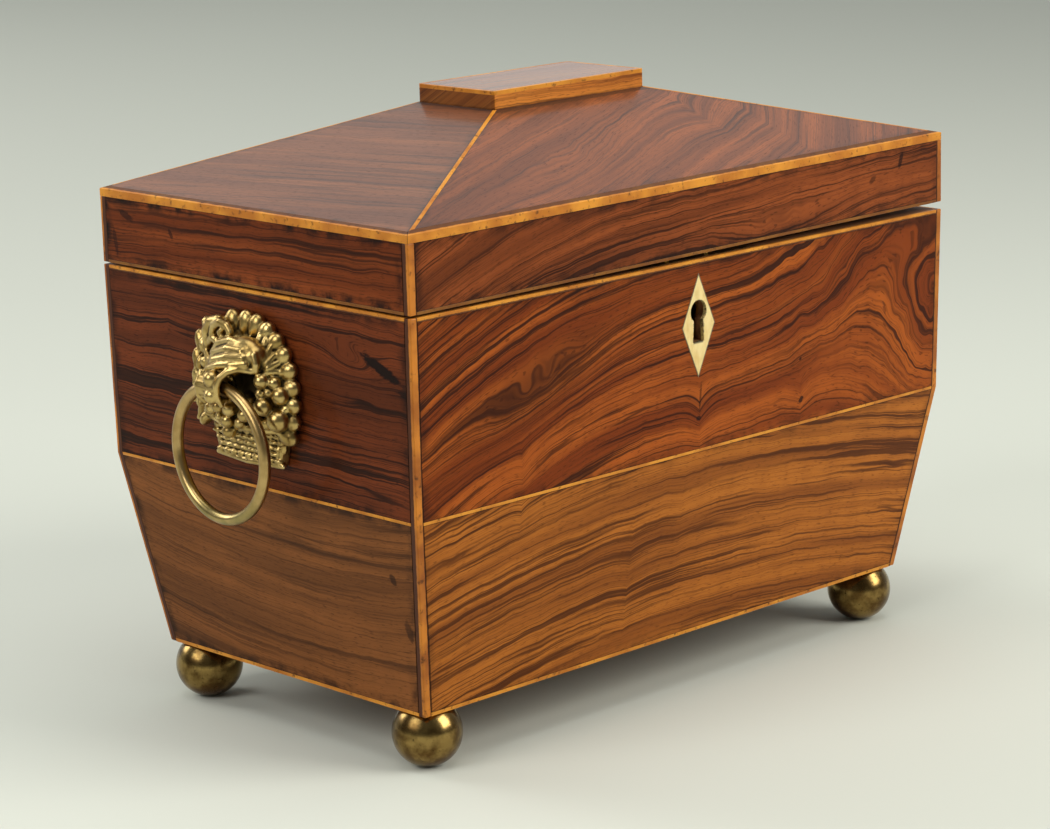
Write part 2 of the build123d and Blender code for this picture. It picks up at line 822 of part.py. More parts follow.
# The lid's level stringing: a thin string along the lower edge and a square one along the eave
with BuildPart() as level_cross_stringing:
    rim_block(lid_foot_height, lid_foot_height + lid_rim_string, no_inset)
    rim_block(
        lid_foot_height, lid_foot_height + lid_rim_string, lambda z: veneer, mode=Mode.SUBTRACT
    )
    corner_rods(lid_foot_height, eave_height, no_inset)
    hip(0.0, eave_height - eave_string)
    with BuildSketch(Plane.XY.offset(eave_height - eave_string)):
        Rectangle(body_width - 2 * eave_string, body_depth - 2 * eave_string)
    extrude(amount=block_top_height, mode=Mode.SUBTRACT)
    mitre_kerfs(eave_height - eave_string, block_base_height, 2 * eave_string)
with BuildPart() as lid_cross_stringing:
    add(level_cross_stringing.part.moved(lid_seat))
    knuckle_pockets()
    for x in hinge_places:
        leaf_mortise(x, seam_height, lid_leaf_height(x) + hinge_leaf)
lid_cross_stringing.part.label = "lid_cross_stringing"
export_step(lid_cross_stringing.part, "parts/lid_cross_stringing.step")

with BuildPart() as level_block:
    with BuildSketch(Plane.XY.offset(block_base_height - veneer)):
        RectangleRounded(block_width, block_depth, block_corner)
    extrude(amount=block_top_height - block_string - block_base_height + veneer)
    with BuildSketch(Plane.XY.offset(block_top_height - block_string)):
        Rectangle(block_width - 2 * block_string, block_depth - 2 * block_string)
    extrude(amount=block_string)
with BuildPart() as top_block:
    add(level_block.part.moved(lid_seat))
top_block.part.label = "top_block"
export_step(top_block.part, "parts/top_block.step")

with BuildPart() as level_lining:
    with BuildSketch(Plane.XY.offset(deck_underside)):
        margin = 2 * (wall_at_rim + velvet_margin)
        Rectangle(body_width - margin, body_depth - margin)
    extrude(amount=-velvet)
with BuildPart() as lid_lining:
    add(level_lining.part.moved(lid_seat))
lid_lining.part.label = "lid_lining"
export_step(lid_lining.part, "parts/lid_lining.step")


def hinge_leaf_plate(x, low):
    """The flat leaf of one hinge from a height upwards, reaching to the hinge axis."""
    with BuildSketch(Plane.XY.offset(low)) as leaf:
        with Locations((x, (hinge_axis_y + leaf_end_y) / 2)):
            Rectangle(hinge_length, hinge_axis_y - leaf_end_y)
    extrude(leaf.sketch, amount=hinge_leaf)


def hinge_barrels(spans, radius, mode=Mode.ADD):
    """Round lengths on the hinge axis; each span is given from the hinge's own middle."""
    for x in hinge_places:
        for start, end in spans:
            with BuildSketch(Plane.YZ.offset(x + start)) as circle:
                with Locations((hinge_axis_y, hinge_axis_height)):
                    Circle(radius)
            extrude(circle.sketch, amount=end - start, mode=mode)


# Each hinge has three knuckles: the two outer ones are the body leaf's, the middle one is the lid leaf's
middle_span = [(-knuckle_middle / 2, knuckle_middle / 2)]
middle_room = [(-knuckle_middle / 2 - knuckle_end_gap, knuckle_middle / 2 + knuckle_end_gap)]
outer_spans = [
    (-hinge_length / 2, -knuckle_middle / 2 - knuckle_end_gap),
    (knuckle_middle / 2 + knuckle_end_gap, hinge_length / 2),
]
outer_room = [
    (-hinge_length / 2 - knuckle_end_gap, -knuckle_middle / 2),
    (knuckle_middle / 2, hinge_length / 2 + knuckle_end_gap),
]
whole_span = [(-hinge_length / 2, hinge_length / 2)]

with BuildPart() as hinge_body_leaves:
    for x in hinge_places:
        hinge_leaf_plate(x, seam_height - hinge_leaf)
    hinge_barrels(middle_room, knuckle_radius + knuckle_pocket_gap, mode=Mode.SUBTRACT)
    hinge_barrels(outer_spans, knuckle_radius)
    hinge_barrels(whole_span, hinge_pin_radius + hinge_pin_fit, mode=Mode.SUBTRACT)
    for x in hinge_places:
        countersinks(hinge_screw_places(x), seam_height, -1)
hinge_body_leaves.part.label = "hinge_body_leaves"
export_step(hinge_body_leaves.part, "parts/hinge_body_leaves.step")

with BuildPart() as hinge_lid_leaves:
    for x in hinge_places:
        hinge_leaf_plate(x, lid_leaf_height(x))
    hinge_barrels(outer_room, knuckle_radius + knuckle_pocket_gap, mode=Mode.SUBTRACT)
    hinge_barrels(middle_span, knuckle_radius)
    hinge_barrels(whole_span, hinge_pin_radius + hinge_pin_fit, mode=Mode.SUBTRACT)
    for x in hinge_places:
        countersinks(hinge_screw_places(x), lid_leaf_height(x), 1)
hinge_lid_leaves.part.label = "hinge_lid_leaves"
export_step(hinge_lid_leaves.part, "parts/hinge_lid_leaves.step")

with BuildPart() as hinge_pins:
    hinge_barrels(whole_span, hinge_pin_radius)
hinge_pins.part.label = "hinge_pins"
export_step(hinge_pins.part, "parts/hinge_pins.step")

# Screws of one size hold the hinges, the lock and the link plate
with BuildPart() as body_screws:
    for x in hinge_places:
        screws(hinge_screw_places(x), seam_height, -1)
    screws(selvedge_screw_places, seam_height, -1)
body_screws.part.label = "body_screws"
export_step(body_screws.part, "parts/body_screws.step")

with BuildPart() as link_screws:
    screws(link_screw_places, lid_foot_height, 1)
with BuildPart() as lid_screws:
    add(link_screws.part.moved(lid_seat))
    for x in hinge_places:
        screws(hinge_screw_places(x), lid_leaf_height(x), 1)
lid_screws.part.label = "lid_screws"
export_step(lid_screws.part, "parts/lid_screws.step")

# Lock case: back plate, three walls and the top plate with slots for the staples, and the key pin
with BuildPart() as lock_case:
    with BuildSketch(Plane.XY.offset(lock_foot)):
        with Locations((0, (lock_inside_y + lock_outside_y) / 2)):
            Rectangle(lock_width, lock_inside_y - lock_outside_y)
    extrude(amount=lock_height)
    with BuildSketch(Plane.XY.offset(lock_foot + lock_plate)):
        with Locations((0, (cavity_inside_y + lock_outside_y) / 2)):
            Rectangle(lock_width - 2 * lock_plate, cavity_inside_y - lock_outside_y)
    extrude(amount=lock_height - lock_plate, mode=Mode.SUBTRACT)
    with BuildSketch(Plane.XY.offset(lock_top)):
        with Locations((0, selvedge_middle_y)):
            Rectangle(selvedge_width, selvedge_depth)
        with Locations(*[(x, lock_middle_y) for x in staple_places]):
            Rectangle(
                staple_thickness + 2 * staple_slot_gap,
                staple_width + 2 * staple_slot_gap,
                mode=Mode.SUBTRACT,
            )
    extrude(amount=selvedge)
    countersinks(selvedge_screw_places, seam_height, -1)
    with BuildSketch(Plane.XZ.offset(-cavity_inside_y)):
        with Locations((0, keyhole_height)):
            Circle(key_pin_radius)
    extrude(amount=key_pin_length)
lock_case.part.label = "lock_case"
export_step(lock_case.part, "parts/lock_case.step")

with BuildPart() as lock_cap_plate:
    with BuildSketch(Plane.XZ.offset(-cavity_outside_y)):
        with Locations((0, (lock_foot + lock_plate + lock_top) / 2)):
            Rectangle(
                lock_width - 2 * lock_plate - 2 * lock_fit,
                lock_height - lock_plate - 2 * lock_fit,
            )
        with Locations((0, keyhole_height)):
            Circle(keyhole_radius + lock_fit, mode=Mode.SUBTRACT)
        with Locations((0, keyhole_height - keyhole_drop / 2)):
            Rectangle(keyhole_foot, keyhole_drop, mode=Mode.SUBTRACT)
    extrude(amount=lock_cap)
lock_cap_plate.part.label = "lock_cap"
export_step(lock_cap_plate.part, "parts/lock_cap.step")

# Sliding bolt: a bar with two arms whose noses, as long as its travel, pass through the staples
staple_eye_foot = staple_foot + staple_bar
nose_foot = staple_eye_foot + (staple_eye_height - bolt_nose_height) / 2
bar_top = staple_foot - bolt_bar_gap
bar_foot = bar_top - bolt_bar_height
with BuildPart() as lock_bolt:
    bar_start = staple_places[0] - staple_thickness / 2 - bolt_nose_gap - bolt_travel - bolt_arm
    bar_end = staple_places[1] - staple_thickness / 2 - bolt_nose_gap - bolt_travel + bolt_tail
    with BuildSketch(Plane.XZ.offset(-lock_middle_y - bolt_thickness / 2)):
        with Locations(((bar_start + bar_end) / 2, bar_foot + bolt_bar_height / 2)):
            Rectangle(bar_end - bar_start, bolt_bar_height)
        for x in staple_places:
            tip = x - staple_thickness / 2 - bolt_nose_gap
            with Locations((tip - bolt_travel / 2 - bolt_arm / 2, nose_foot + bolt_nose_height / 2)):
                Rectangle(bolt_travel + bolt_arm, bolt_nose_height)
            with Locations((tip - bolt_travel - bolt_arm / 2, (bar_foot + nose_foot) / 2)):
                Rectangle(bolt_arm, nose_foot - bar_foot)
        with Locations((-bolt_travel / 2, bar_foot)):
            Rectangle(talon_width, 2 * talon_height, mode=Mode.SUBTRACT)
    extrude(amount=bolt_thickness)
lock_bolt.part.label = "lock_bolt"
export_step(lock_bolt.part, "parts/lock_bolt.step")

# Leaf spring from the case's wall up to the bolt's lower edge
with BuildPart() as bolt_spring:
    wall_x = lock_plate - lock_width / 2
    spring_x = wall_x + spring_thickness
    tip_x = -keyhole_radius - talon_width / 2
    spring_top = bar_foot - spring_gap - spring_thickness / 2
    with BuildSketch(Plane.XZ.offset(-lock_middle_y - spring_width / 2)):
        with BuildLine():
            ThreePointArc(
                (spring_x, spring_top - spring_rise),
                (spring_x + spring_bow_run, spring_top - spring_bow_drop),
                (tip_x, spring_top),
            )
        trace(line_width=spring_thickness)
        with Locations((wall_x + spring_thickness, spring_top - spring_rise)):
            Rectangle(2 * spring_thickness, spring_foot)
    extrude(amount=spring_width)
bolt_spring.part.label = "bolt_spring"
export_step(bolt_spring.part, "parts/bolt_spring.step")

# Link plate under the lid's front rail, with two staples that drop into the lock
with BuildPart() as level_link_plate:
    with BuildSketch(Plane.XY.offset(lid_foot_height)):
        with Locations((0, lock_middle_y)):
            Rectangle(link_plate_width, link_plate_depth)
    extrude(amount=link_plate)
    countersinks(link_screw_places, lid_foot_height, 1)
    for x in staple_places:
        with BuildSketch(Plane.YZ.offset(x - staple_thickness / 2)):
            with Locations((lock_middle_y, lid_foot_height - staple_reach / 2)):
                Rectangle(staple_width, staple_reach)
            eye_height = lid_foot_height - staple_reach + staple_bar + staple_eye_height / 2
            with Locations((lock_middle_y, eye_height)):
                Rectangle(staple_eye_width, staple_eye_height, mode=Mode.SUBTRACT)
        extrude(amount=staple_thickness)
with BuildPart() as link_plate_part:
    add(level_link_plate.part.moved(lid_seat))
link_plate_part.part.label = "link_plate"
export_step(link_plate_part.part, "parts/link_plate.step")

# Ring handles. The ring hangs from its top in the tunnel of the cast backplate
ring_face = half_width - face_inset(ring_height)
ring_x = ring_face + ring_standoff
tunnel_drop = ring_radius - math.sqrt(ring_radius**2 - lug_half_length**2)
tunnel_radius = ring_wire_radius + tunnel_drop + tunnel_gap
plate_plane = panel_plane("left", plate_middle_height)
dome_radius = (dome_half_width**2 + dome_height**2) / (2 * dome_height)
dome_middle = plate_plane.offset(dome_height - dome_radius)

# The plate's border, in its own plane: up one side, over the arch and down the other side
with BuildLine() as border:
    Line((border_foot, -border_foot_drop), (plate_half_width, -arch_drop))
    EllipticalCenterArc(
        (0, -arch_drop), plate_half_width, plate_half_height + arch_drop, arc_size=180
    )
    Line((-plate_half_width, -arch_drop), (-border_foot, -border_foot_drop))
lobe_spacing = border.wire().length / (lobe_count - 1)
lobe_places = [
    border.wire().position_at(i * lobe_spacing, position_mode=PositionMode.LENGTH)
    for i in range(lobe_count)
]


def arc_places(radius, count, middle, sweep):
    """Evenly spaced places on an arc about the ring's axis, in the plate's plane, with angles in degrees."""
    angles = [math.radians(middle + sweep * (i / (count - 1) - 0.5)) for i in range(count)]
    return [(radius * math.cos(a), plate_below_ring + radius * math.sin(a)) for a in angles]


def balls(places, standoff, radius):
    """Balls at places in the plate's plane, with their middles standing off its back by standoff."""
    with Locations(plate_plane.offset(standoff)):
        with Locations(*places):
            Sphere(radius)


with BuildPart() as left_handle_plate:
    # Base plate with the lobed border round it
    with BuildSketch(plate_plane):
        with BuildLine():
            add(border.line)
            Line((-border_foot, -border_foot_drop), (border_foot, -border_foot_drop))
        make_face()
    extrude(amount=plate_thickness)
    with BuildSketch(plate_plane):
        with Locations(*[(place.X, place.Y) for place in lobe_places]):
            Circle(lobe_radius)
    extrude(amount=lobe_relief)
    # Dome, made of two round caps so that it is drawn out upwards
    with Locations(dome_middle):
        with Locations((0, dome_half_height - dome_half_width), (0, 0)):
            Sphere(dome_radius)
    # Basket, with level canes woven across it
    with BuildSketch(plate_plane):
        Polygon(
            (basket_rim_width / 2, -basket_rim_drop),
            (-basket_rim_width / 2, -basket_rim_drop),
            (-basket_foot_width / 2, -basket_foot_drop),
            (basket_foot_width / 2, -basket_foot_drop),
            align=None,
        )
    extrude(amount=basket_relief)
    for rib in range(basket_rib_count):
        share = (rib + 0.5) / basket_rib_count
        drop = basket_foot_drop + (basket_rim_drop - basket_foot_drop) * share
        width = basket_foot_width + (basket_rim_width - basket_foot_width) * share
        with BuildSketch(plate_plane.offset(basket_relief)):
            with Locations((0, -drop)):
                Rectangle(width, (basket_foot_drop - basket_rim_drop) / basket_rib_count / 2)
        extrude(amount=basket_rib)
    # Berries, larger fruit, and the leafy hood that arches from one side over the mouth of the ring
    balls(arc_places(berry_circle, berry_count, 270, berry_sweep), berry_standoff, berry_radius)
    balls(arc_places(fruit_circle, fruit_count, 270, fruit_sweep), fruit_standoff, fruit_radius)
    hood_axis = Axis((plate_plane * Location((0, plate_below_ring, 0))).position, plate_plane.z_dir)
    with BuildSketch(Plane(origin=hood_axis.position, x_dir=plate_plane.x_dir, z_dir=plate_plane.y_dir)):
        with Locations((hood_circle, -hood_standoff)):
            Circle(hood_radius)
    revolve(axis=hood_axis, revolution_arc=hood_sweep)
    # Barrel-shaped lug with two berries on it, and the tunnel for the ring
    with BuildSketch(Plane(origin=(-ring_x, 0, ring_height), x_dir=(0, 1, 0), z_dir=(-1, 0, 0))):
        with BuildLine():
            ThreePointArc(
                (-lug_half_length, lug_end_radius),
                (0, lug_radius),
                (lug_half_length, lug_end_radius),
            )
            Polyline(
                (lug_half_length, lug_end_radius),
                (lug_half_length, 0),
                (-lug_half_length, 0),
                (-lug_half_length, lug_end_radius),
            )
        make_face()
    revolve(axis=Axis((-ring_x, 0, ring_height), (0, 1, 0)))
    with BuildSketch(plate_plane):
        with Locations((0, plate_below_ring)):
            Rectangle(2 * lug_half_length, 2 * lug_end_radius)
    extrude(amount=ring_standoff)
    balls(
        [(0, plate_below_ring + s * lug_berry_radius) for s in (-1, 1)],
        lug_berry_standoff,
        lug_berry_radius,
    )
    with BuildSketch(Plane.XZ):
        with Locations((-ring_x, ring_height)):
            Circle(tunnel_radius)
    extrude(amount=body_depth, both=True, mode=Mode.SUBTRACT)
    split(bisect_by=plate_plane, keep=Keep.TOP)
    # Stud through the end board
    with BuildSketch(plate_plane):
        Circle(stud_radius)
    extrude(amount=-(nut_depth + nut_thickness))
left_handle_plate.part.label = "left_handle_plate"
export_step(left_handle_plate.part, "parts/left_handle_plate.step")

with BuildPart() as right_handle_plate:
    mirror(left_handle_plate.part, about=Plane.YZ)
right_handle_plate.part.label = "right_handle_plate"
export_step(right_handle_plate.part, "parts/right_handle_plate.step")

with BuildPart() as handle_nuts:
    for side in ("left", "right"):
        with BuildSketch(panel_plane(side, plate_middle_height).offset(-nut_depth)):
            Rectangle(nut_size, nut_size)
            Circle(stud_radius + nut_fit, mode=Mode.SUBTRACT)
        extrude(amount=-nut_thickness)
handle_nuts.part.label = "handle_nuts"
export_step(handle_nuts.part, "parts/handle_nuts.step")

for sign, end in ((-1, "left"), (1, "right")):
    with BuildPart() as ring:
        with BuildSketch(Plane.XY.offset(ring_height - ring_radius)):
            with Locations((sign * ring_x, ring_radius)):
                Circle(ring_wire_radius)
        revolve(axis=Axis((sign * ring_x, 0, ring_height - ring_radius), (1, 0, 0)))
    ring.part.label = f"{end}_ring"
    export_step(ring.part, f"parts/{end}_ring.step")
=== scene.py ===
import math

import bmesh
import bpy
from mathutils import Matrix, Vector


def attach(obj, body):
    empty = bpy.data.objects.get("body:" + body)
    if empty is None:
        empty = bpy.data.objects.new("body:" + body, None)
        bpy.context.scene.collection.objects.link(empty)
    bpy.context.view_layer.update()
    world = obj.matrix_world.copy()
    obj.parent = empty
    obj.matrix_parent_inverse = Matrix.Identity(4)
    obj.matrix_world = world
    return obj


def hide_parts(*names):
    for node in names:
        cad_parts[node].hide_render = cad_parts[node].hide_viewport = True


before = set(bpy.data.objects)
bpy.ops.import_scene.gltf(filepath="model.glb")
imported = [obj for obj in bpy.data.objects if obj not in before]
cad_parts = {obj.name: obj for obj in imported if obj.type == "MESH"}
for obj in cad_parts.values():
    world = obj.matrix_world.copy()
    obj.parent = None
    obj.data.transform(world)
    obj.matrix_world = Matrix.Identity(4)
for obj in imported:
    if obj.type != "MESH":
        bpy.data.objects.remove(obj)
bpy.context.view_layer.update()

# Carcass: boards of plain straight-grained wood, mitred and glued at the corners, with a bottom board
# let into a rebate, and the lid's rails under one thick planed board. They show as edges under the lid,
# darkened by handling, and from below.


def feed(tree, socket, value):
    """Link a reading or another socket to a socket, or set it to a number or a colour."""
    if isinstance(value, Reading):
        value = value.socket
    if isinstance(value, bpy.types.NodeSocket):
        tree.links.new(value, socket)
    else:
        socket.default_value = value


def add_node(tree, kind, inputs, **settings):
    """Add a shader node, with its settings made and its inputs fed."""
    node = tree.nodes.new(kind)
    for name, value in settings.items():
        setattr(node, name, value)
    for name, value in inputs.items():
        feed(tree, node.inputs[name], value)
    return node


class Reading:
    """A number read at every point of a surface. Sums made with it become Math nodes of its tree."""

    def __init__(self, tree, socket):
        self.tree = tree
        self.socket = socket

    def math(self, operation, *others):
        """The result of a Math node that starts with this reading."""
        values = dict(enumerate((self, *others)))
        node = add_node(self.tree, "ShaderNodeMath", values, operation=operation)
        return Reading(self.tree, node.outputs[0])

    def __add__(self, other):
        return self.math("ADD", other)

    def __sub__(self, other):
        return self.math("SUBTRACT", other)

    def __rsub__(self, other):
        return self * -1.0 + other

    def __mul__(self, other):
        return self.math("MULTIPLY", other)

    def __truediv__(self, other):
        return self.math("DIVIDE", other)

    def __pow__(self, other):
        return self.math("POWER", other)

    def __abs__(self):
        return self.math("ABSOLUTE")

    def over(self, low, high):
        """0 under low and 1 over high, with a soft step between."""
        inputs = {"Value": self, "From Min": low, "From Max": high}
        step = add_node(self.tree, "ShaderNodeMapRange", inputs, interpolation_type="SMOOTHSTEP")
        return Reading(self.tree, step.outputs["Result"])

    def under(self, low, high):
        """1 under low and 0 over high, with a soft step between."""
        return 1.0 - self.over(low, high)


def cloud(tree, x, y, z, detail=2.0):
    """Smooth noise, about 0.5 on average, at a place given by three readings or numbers."""
    place = add_node(tree, "ShaderNodeCombineXYZ", {"X": x, "Y": y, "Z": z})
    inputs = {"Vector": place.outputs[0], "Scale": 1.0, "Detail": detail, "Roughness": 0.55}
    return Reading(tree, add_node(tree, "ShaderNodeTexNoise", inputs).outputs["Fac"])


def blend(tree, amount, first, second):
    """The first colour, going over to the second as amount goes from 0 to 1."""
    inputs = {0: amount, 6: first, 7: second}
    return add_node(tree, "ShaderNodeMix", inputs, data_type="RGBA").outputs[2]


def shader_group(name, numbers, colours, outputs):
    """A new node group with its inputs read, and a function that feeds its outputs."""
    tree = bpy.data.node_groups.new(name, "ShaderNodeTree")
    for label in numbers:
        tree.interface.new_socket(label, in_out="INPUT", socket_type="NodeSocketFloat")
    for label in colours:
        tree.interface.new_socket(label, in_out="INPUT", socket_type="NodeSocketColor")
    for label, kind in outputs.items():
        tree.interface.new_socket(label, in_out="OUTPUT", socket_type=kind)
    start = tree.nodes.new("NodeGroupInput")
    end = tree.nodes.new("NodeGroupOutput")
    taken = [Reading(tree, start.outputs[label]) for label in numbers + colours]

    def give(**results):
        for label, value in results.items():
            feed(tree, end.inputs[label], value)

    return tree, taken, give


def use_group(tree, name, inputs):
    """Place a node group in a tree and return its outputs by name."""
    node = add_node(tree, "ShaderNodeGroup", inputs, node_tree=bpy.data.node_groups[name])
    return {output.name: Reading(tree, output) for output in node.outputs}


def tone(red, green, blue):
    """A colour given as it looks, in 0 to 255, turned to the linear values that a shader takes."""
    def linear(part):
        share = part / 255
        return share / 12.92 if share <= 0.04045 else ((share + 0.055) / 1.055) ** 2.4

    return (linear(red), linear(green), linear(blue), 1.0)


def finish(name, **constants):
    """A new material and its tree and shader, with the shader's constant sockets set."""
    material = bpy.data.materials.new(name)
    material.use_nodes = True
    tree = material.node_tree
    shader = tree.nodes["Principled BSDF"]
    for label, value in constants.items():
        shader.inputs[label.replace("_", " ")].default_value = value
    return material, tree, shader


def where(tree):
    """The place of a point of the surface in the object's own millimetres."""
    spot = add_node(tree, "ShaderNodeTexCoord", {}).outputs["Object"]
    scaled = add_node(tree, "ShaderNodeVectorMath", {0: spot, "Scale": 1000.0}, operation="SCALE")
    parts = add_node(tree, "ShaderNodeSeparateXYZ", {0: scaled.outputs[0]})
    return [Reading(tree, output) for output in parts.outputs]


deepest_relief = 0.0001


def wire(tree, shader, colour, roughness=None, height=None, relief=0.1):
    """Feed a finish's colour, roughness and height to its shader."""
    feed(tree, shader.inputs["Base Color"], colour)
    if roughness is not None:
        feed(tree, shader.inputs["Roughness"], roughness)
    if height is not None:
        inputs = {"Strength": relief, "Distance": deepest_relief, "Height": height}
        bump = add_node(tree, "ShaderNodeBump", inputs)
        feed(tree, shader.inputs["Normal"], bump.outputs["Normal"])


def dress(material, *nodes):
    """Give carried-over pieces their finish."""
    for name in nodes:
        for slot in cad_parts[name].material_slots:
            slot.material = material


tree, (along, across, depth, pore_length, light, dark), give = shader_group(
    "plain_grain",
    ["Along", "Across", "Depth", "Pore length"],
    ["Light", "Dark"],
    {"Colour": "NodeSocketColor", "Roughness": "NodeSocketFloat", "Height": "NodeSocketFloat"},
)
sway = cloud(tree, along / 60, across / 12, depth / 12)
year_rings = cloud(tree, along / 90, across / 2.4 + sway * 2.0, depth / 2.4)
pores = cloud(tree, along / pore_length, across / 0.3, depth / 0.3)
wood = blend(tree, year_rings.over(0.35, 0.7), light, dark)
wood = blend(tree, pores.over(0.56, 0.66) * 0.5, wood, dark)
give(Colour=wood, Roughness=pores * 0.2 + 0.5, Height=year_rings * 0.3 - pores)


def plain_board(name, along, light, dark, pore_length):
    """Plain wood with its grain along one of the object's axes."""
    material, tree, shader = finish(name, Specular_IOR_Level=0.35)
    places = where(tree)
    run = places.pop("xyz".index(along))
    inputs = {
        "Along": run, "Across": places[1], "Depth": places[0], "Pore length": pore_length,
        "Light": tone(*light), "Dark": tone(*dark),
    }
    grain = use_group(tree, "plain_grain", inputs)
    wire(tree, shader, grain["Colour"], grain["Roughness"], grain["Height"], relief=0.25)
    return material


carcass_tones = (138, 92, 56), (96, 58, 34)
long_boards = plain_board("carcass_along_front", "x", *carcass_tones, 5.0)
end_boards = plain_board("carcass_along_ends", "y", *carcass_tones, 5.0)
dress(long_boards, "front_board", "back_board", "bottom_board")
dress(long_boards, "lid_front_rail", "lid_back_rail", "lid_deck")
dress(end_boards, "left_end_board", "right_end_board", "lid_left_rail", "lid_right_rail")

# Tea compartments: thin dark lining boards round a partition, with a liner of dull, scratched tin in each
# half. Their lift-out lids come after the handles.

lining_wood = plain_board("lining_wood", "z", (112, 66, 38), (70, 38, 22), 3.0)
dress(lining_wood, "lining_boards", "partition")


def patchy(tree, size, detail):
    """Patches of a size in millimetres, the same in every direction."""
    x, y, z = where(tree)
    return cloud(tree, x / size, y / size, z / size, detail)


def layered(tree, base, *layers):
    """A base colour with others laid over it, each by its mask, all given as they look."""
    colour = tone(*base)
    for mask, laid_over in layers:
        colour = blend(tree, mask, colour, tone(*laid_over))
    return colour


tin_sheet, tree, shader = finish("dull_tin", Metallic=0.9)
x, y, z = where(tree)
blotch = patchy(tree, 7, 4.0)
scratch = cloud(tree, x / 0.4, y / 0.4, z / 9, 2.0)
tin_colour = layered(tree, (168, 168, 164), (blotch.over(0.35, 0.7), (112, 110, 104)))
wire(tree, shader, tin_colour, blotch * 0.35 + 0.25, scratch, relief=0.1)
dress(tin_sheet, "left_tin_liner", "right_tin_liner")

# Rosewood veneer of the body: saw-cut leaves about a millimetre thick, glued to the boards and French
# polished. The front's upper leaf has a long dark eye at the left and ringed figure at the right, the
# lower one long even arches, and the left end is a darker, redder piece with a blackened split.

tree, (across, along, seed, strength, light, mid, dark), give = shader_group(
    "rosewood_grain",
    ["Across", "Along", "Seed", "Streaks"],
    ["Light", "Mid", "Dark"],
    {"Colour": "NodeSocketColor", "Roughness": "NodeSocketFloat", "Height": "NodeSocketFloat"},
)
sway = cloud(tree, across / 10, along / 30, seed, 2.0)
ripple = cloud(tree, across / 30, along / 7, seed + 2.2, 1.0)
line = across + sway * 2.4 + ripple * 1.1
bands = cloud(tree, line / 6.5, along / 170, seed + 3.1, 2.0)
streaks = cloud(tree, line / 1.5, along / 95, seed + 7.7, 3.0)
groups_of_streaks = cloud(tree, line / 9.0, along / 120, seed + 11.3, 1.0)
fine_streaks = cloud(tree, line / 0.62, along / 60, seed + 9.1, 2.0)
hairs = cloud(tree, line / 0.36, along / 26, seed + 13.9, 2.0)
veins = abs(cloud(tree, line / 3.4, along / 210, seed + 19.4, 1.0) - 0.5)
pores = cloud(tree, across / 0.26, along / 2.4, seed + 23.8, 1.0).over(0.6, 0.7)
shimmer = cloud(tree, across / 26, along / 6.0, seed + 31.0, 1.0)
fine = fine_streaks.over(0.5, 0.6) * streaks.over(0.4, 0.6) * strength * 0.7
thick = streaks.over(0.54, 0.64) * groups_of_streaks.over(0.34, 0.56) * strength
thin = veins.under(0.004, 0.022) * groups_of_streaks.over(0.3, 0.55) * 0.75 * strength
wood = blend(tree, bands.over(0.36, 0.64), mid, light)
wood = blend(tree, shimmer.over(0.35, 0.75) * 0.22, wood, mid)
dark_lines = (
    hairs.over(0.48, 0.68) * 0.34, fine.math("MINIMUM", 0.8), thick.math("MINIMUM", 0.9), thin, pores * 0.5,
)
for mask in dark_lines:
    wood = blend(tree, mask, wood, dark)
give(Colour=wood, Roughness=hairs * 0.12 + pores * 0.1 + 0.3, Height=hairs * 0.3 - pores)

# An eye: the grain parts round it, and inside it has rings of its own
tree, (along, across, lean, half_length, half_height, part, rings), give = shader_group(
    "grain_eye",
    ["Along", "Across", "Lean", "Half length", "Half height", "Part", "Rings"],
    [],
    {"Shift": "NodeSocketFloat", "Nearness": "NodeSocketFloat"},
)
slant_cos, slant_sin = lean.math("COSINE"), lean.math("SINE")
eye_along = along * slant_cos + across * slant_sin
eye_across = across * slant_cos - along * slant_sin
eye_far = (eye_along / half_length)**2.0 + (eye_across / half_height)**2.0
nearness = (eye_far * -1.0).math("EXPONENT")
give(Shift=nearness * (rings - part * eye_across), Nearness=nearness)

# A pinch: the lines dip to a point under a small knot
tree, (along, across, width, height, depth), give = shader_group(
    "grain_pinch", ["Along", "Across", "Width", "Height", "Depth"], [], {"Shift": "NodeSocketFloat"}
)
side_fall = (abs(along) / width * -1.0).math("EXPONENT")
level_fall = ((across / height)**2.0 * -1.0).math("EXPONENT")
give(Shift=side_fall * level_fall * depth)

# Dirt and dark glue where a leaf of veneer meets the stringing
tree, (from_side, from_level_edge, along, across, grime), give = shader_group(
    "edge_dirt", ["From side", "From level edge", "Along", "Across", "Grime"], [],
    {"Mask": "NodeSocketFloat"},
)
fray = cloud(tree, along / 5, across / 5, 4.4, 4.0)
near = from_side.math("MINIMUM", from_level_edge) - (fray - 0.5) * 0.9
glue_line = near.under(0.05, 0.4) * 0.75
give(Mask=glue_line.math("MAXIMUM", near.under(0.0, 3.2) * fray.over(0.35, 0.65) * grime))


def eye_at(u, v, place, lean, reach, part=0.0, rings=0.0):
    """An eye in a leaf's figure, by its place, its slant in degrees and its half length and height."""
    inputs = {
        "Along": u - place[0], "Across": v - place[1], "Lean": math.radians(lean),
        "Half length": reach[0], "Half height": reach[1], "Part": part, "Rings": rings,
    }
    return use_group(u.tree, "grain_eye", inputs)


def pinch_at(u, v, place, width, height, depth):
    """How far a pinch at a place shifts the grain."""
    inputs = {
        "Along": u - place[0], "Across": v - place[1], "Width": width, "Height": height, "Depth": depth,
    }
    return use_group(u.tree, "grain_pinch", inputs)["Shift"]


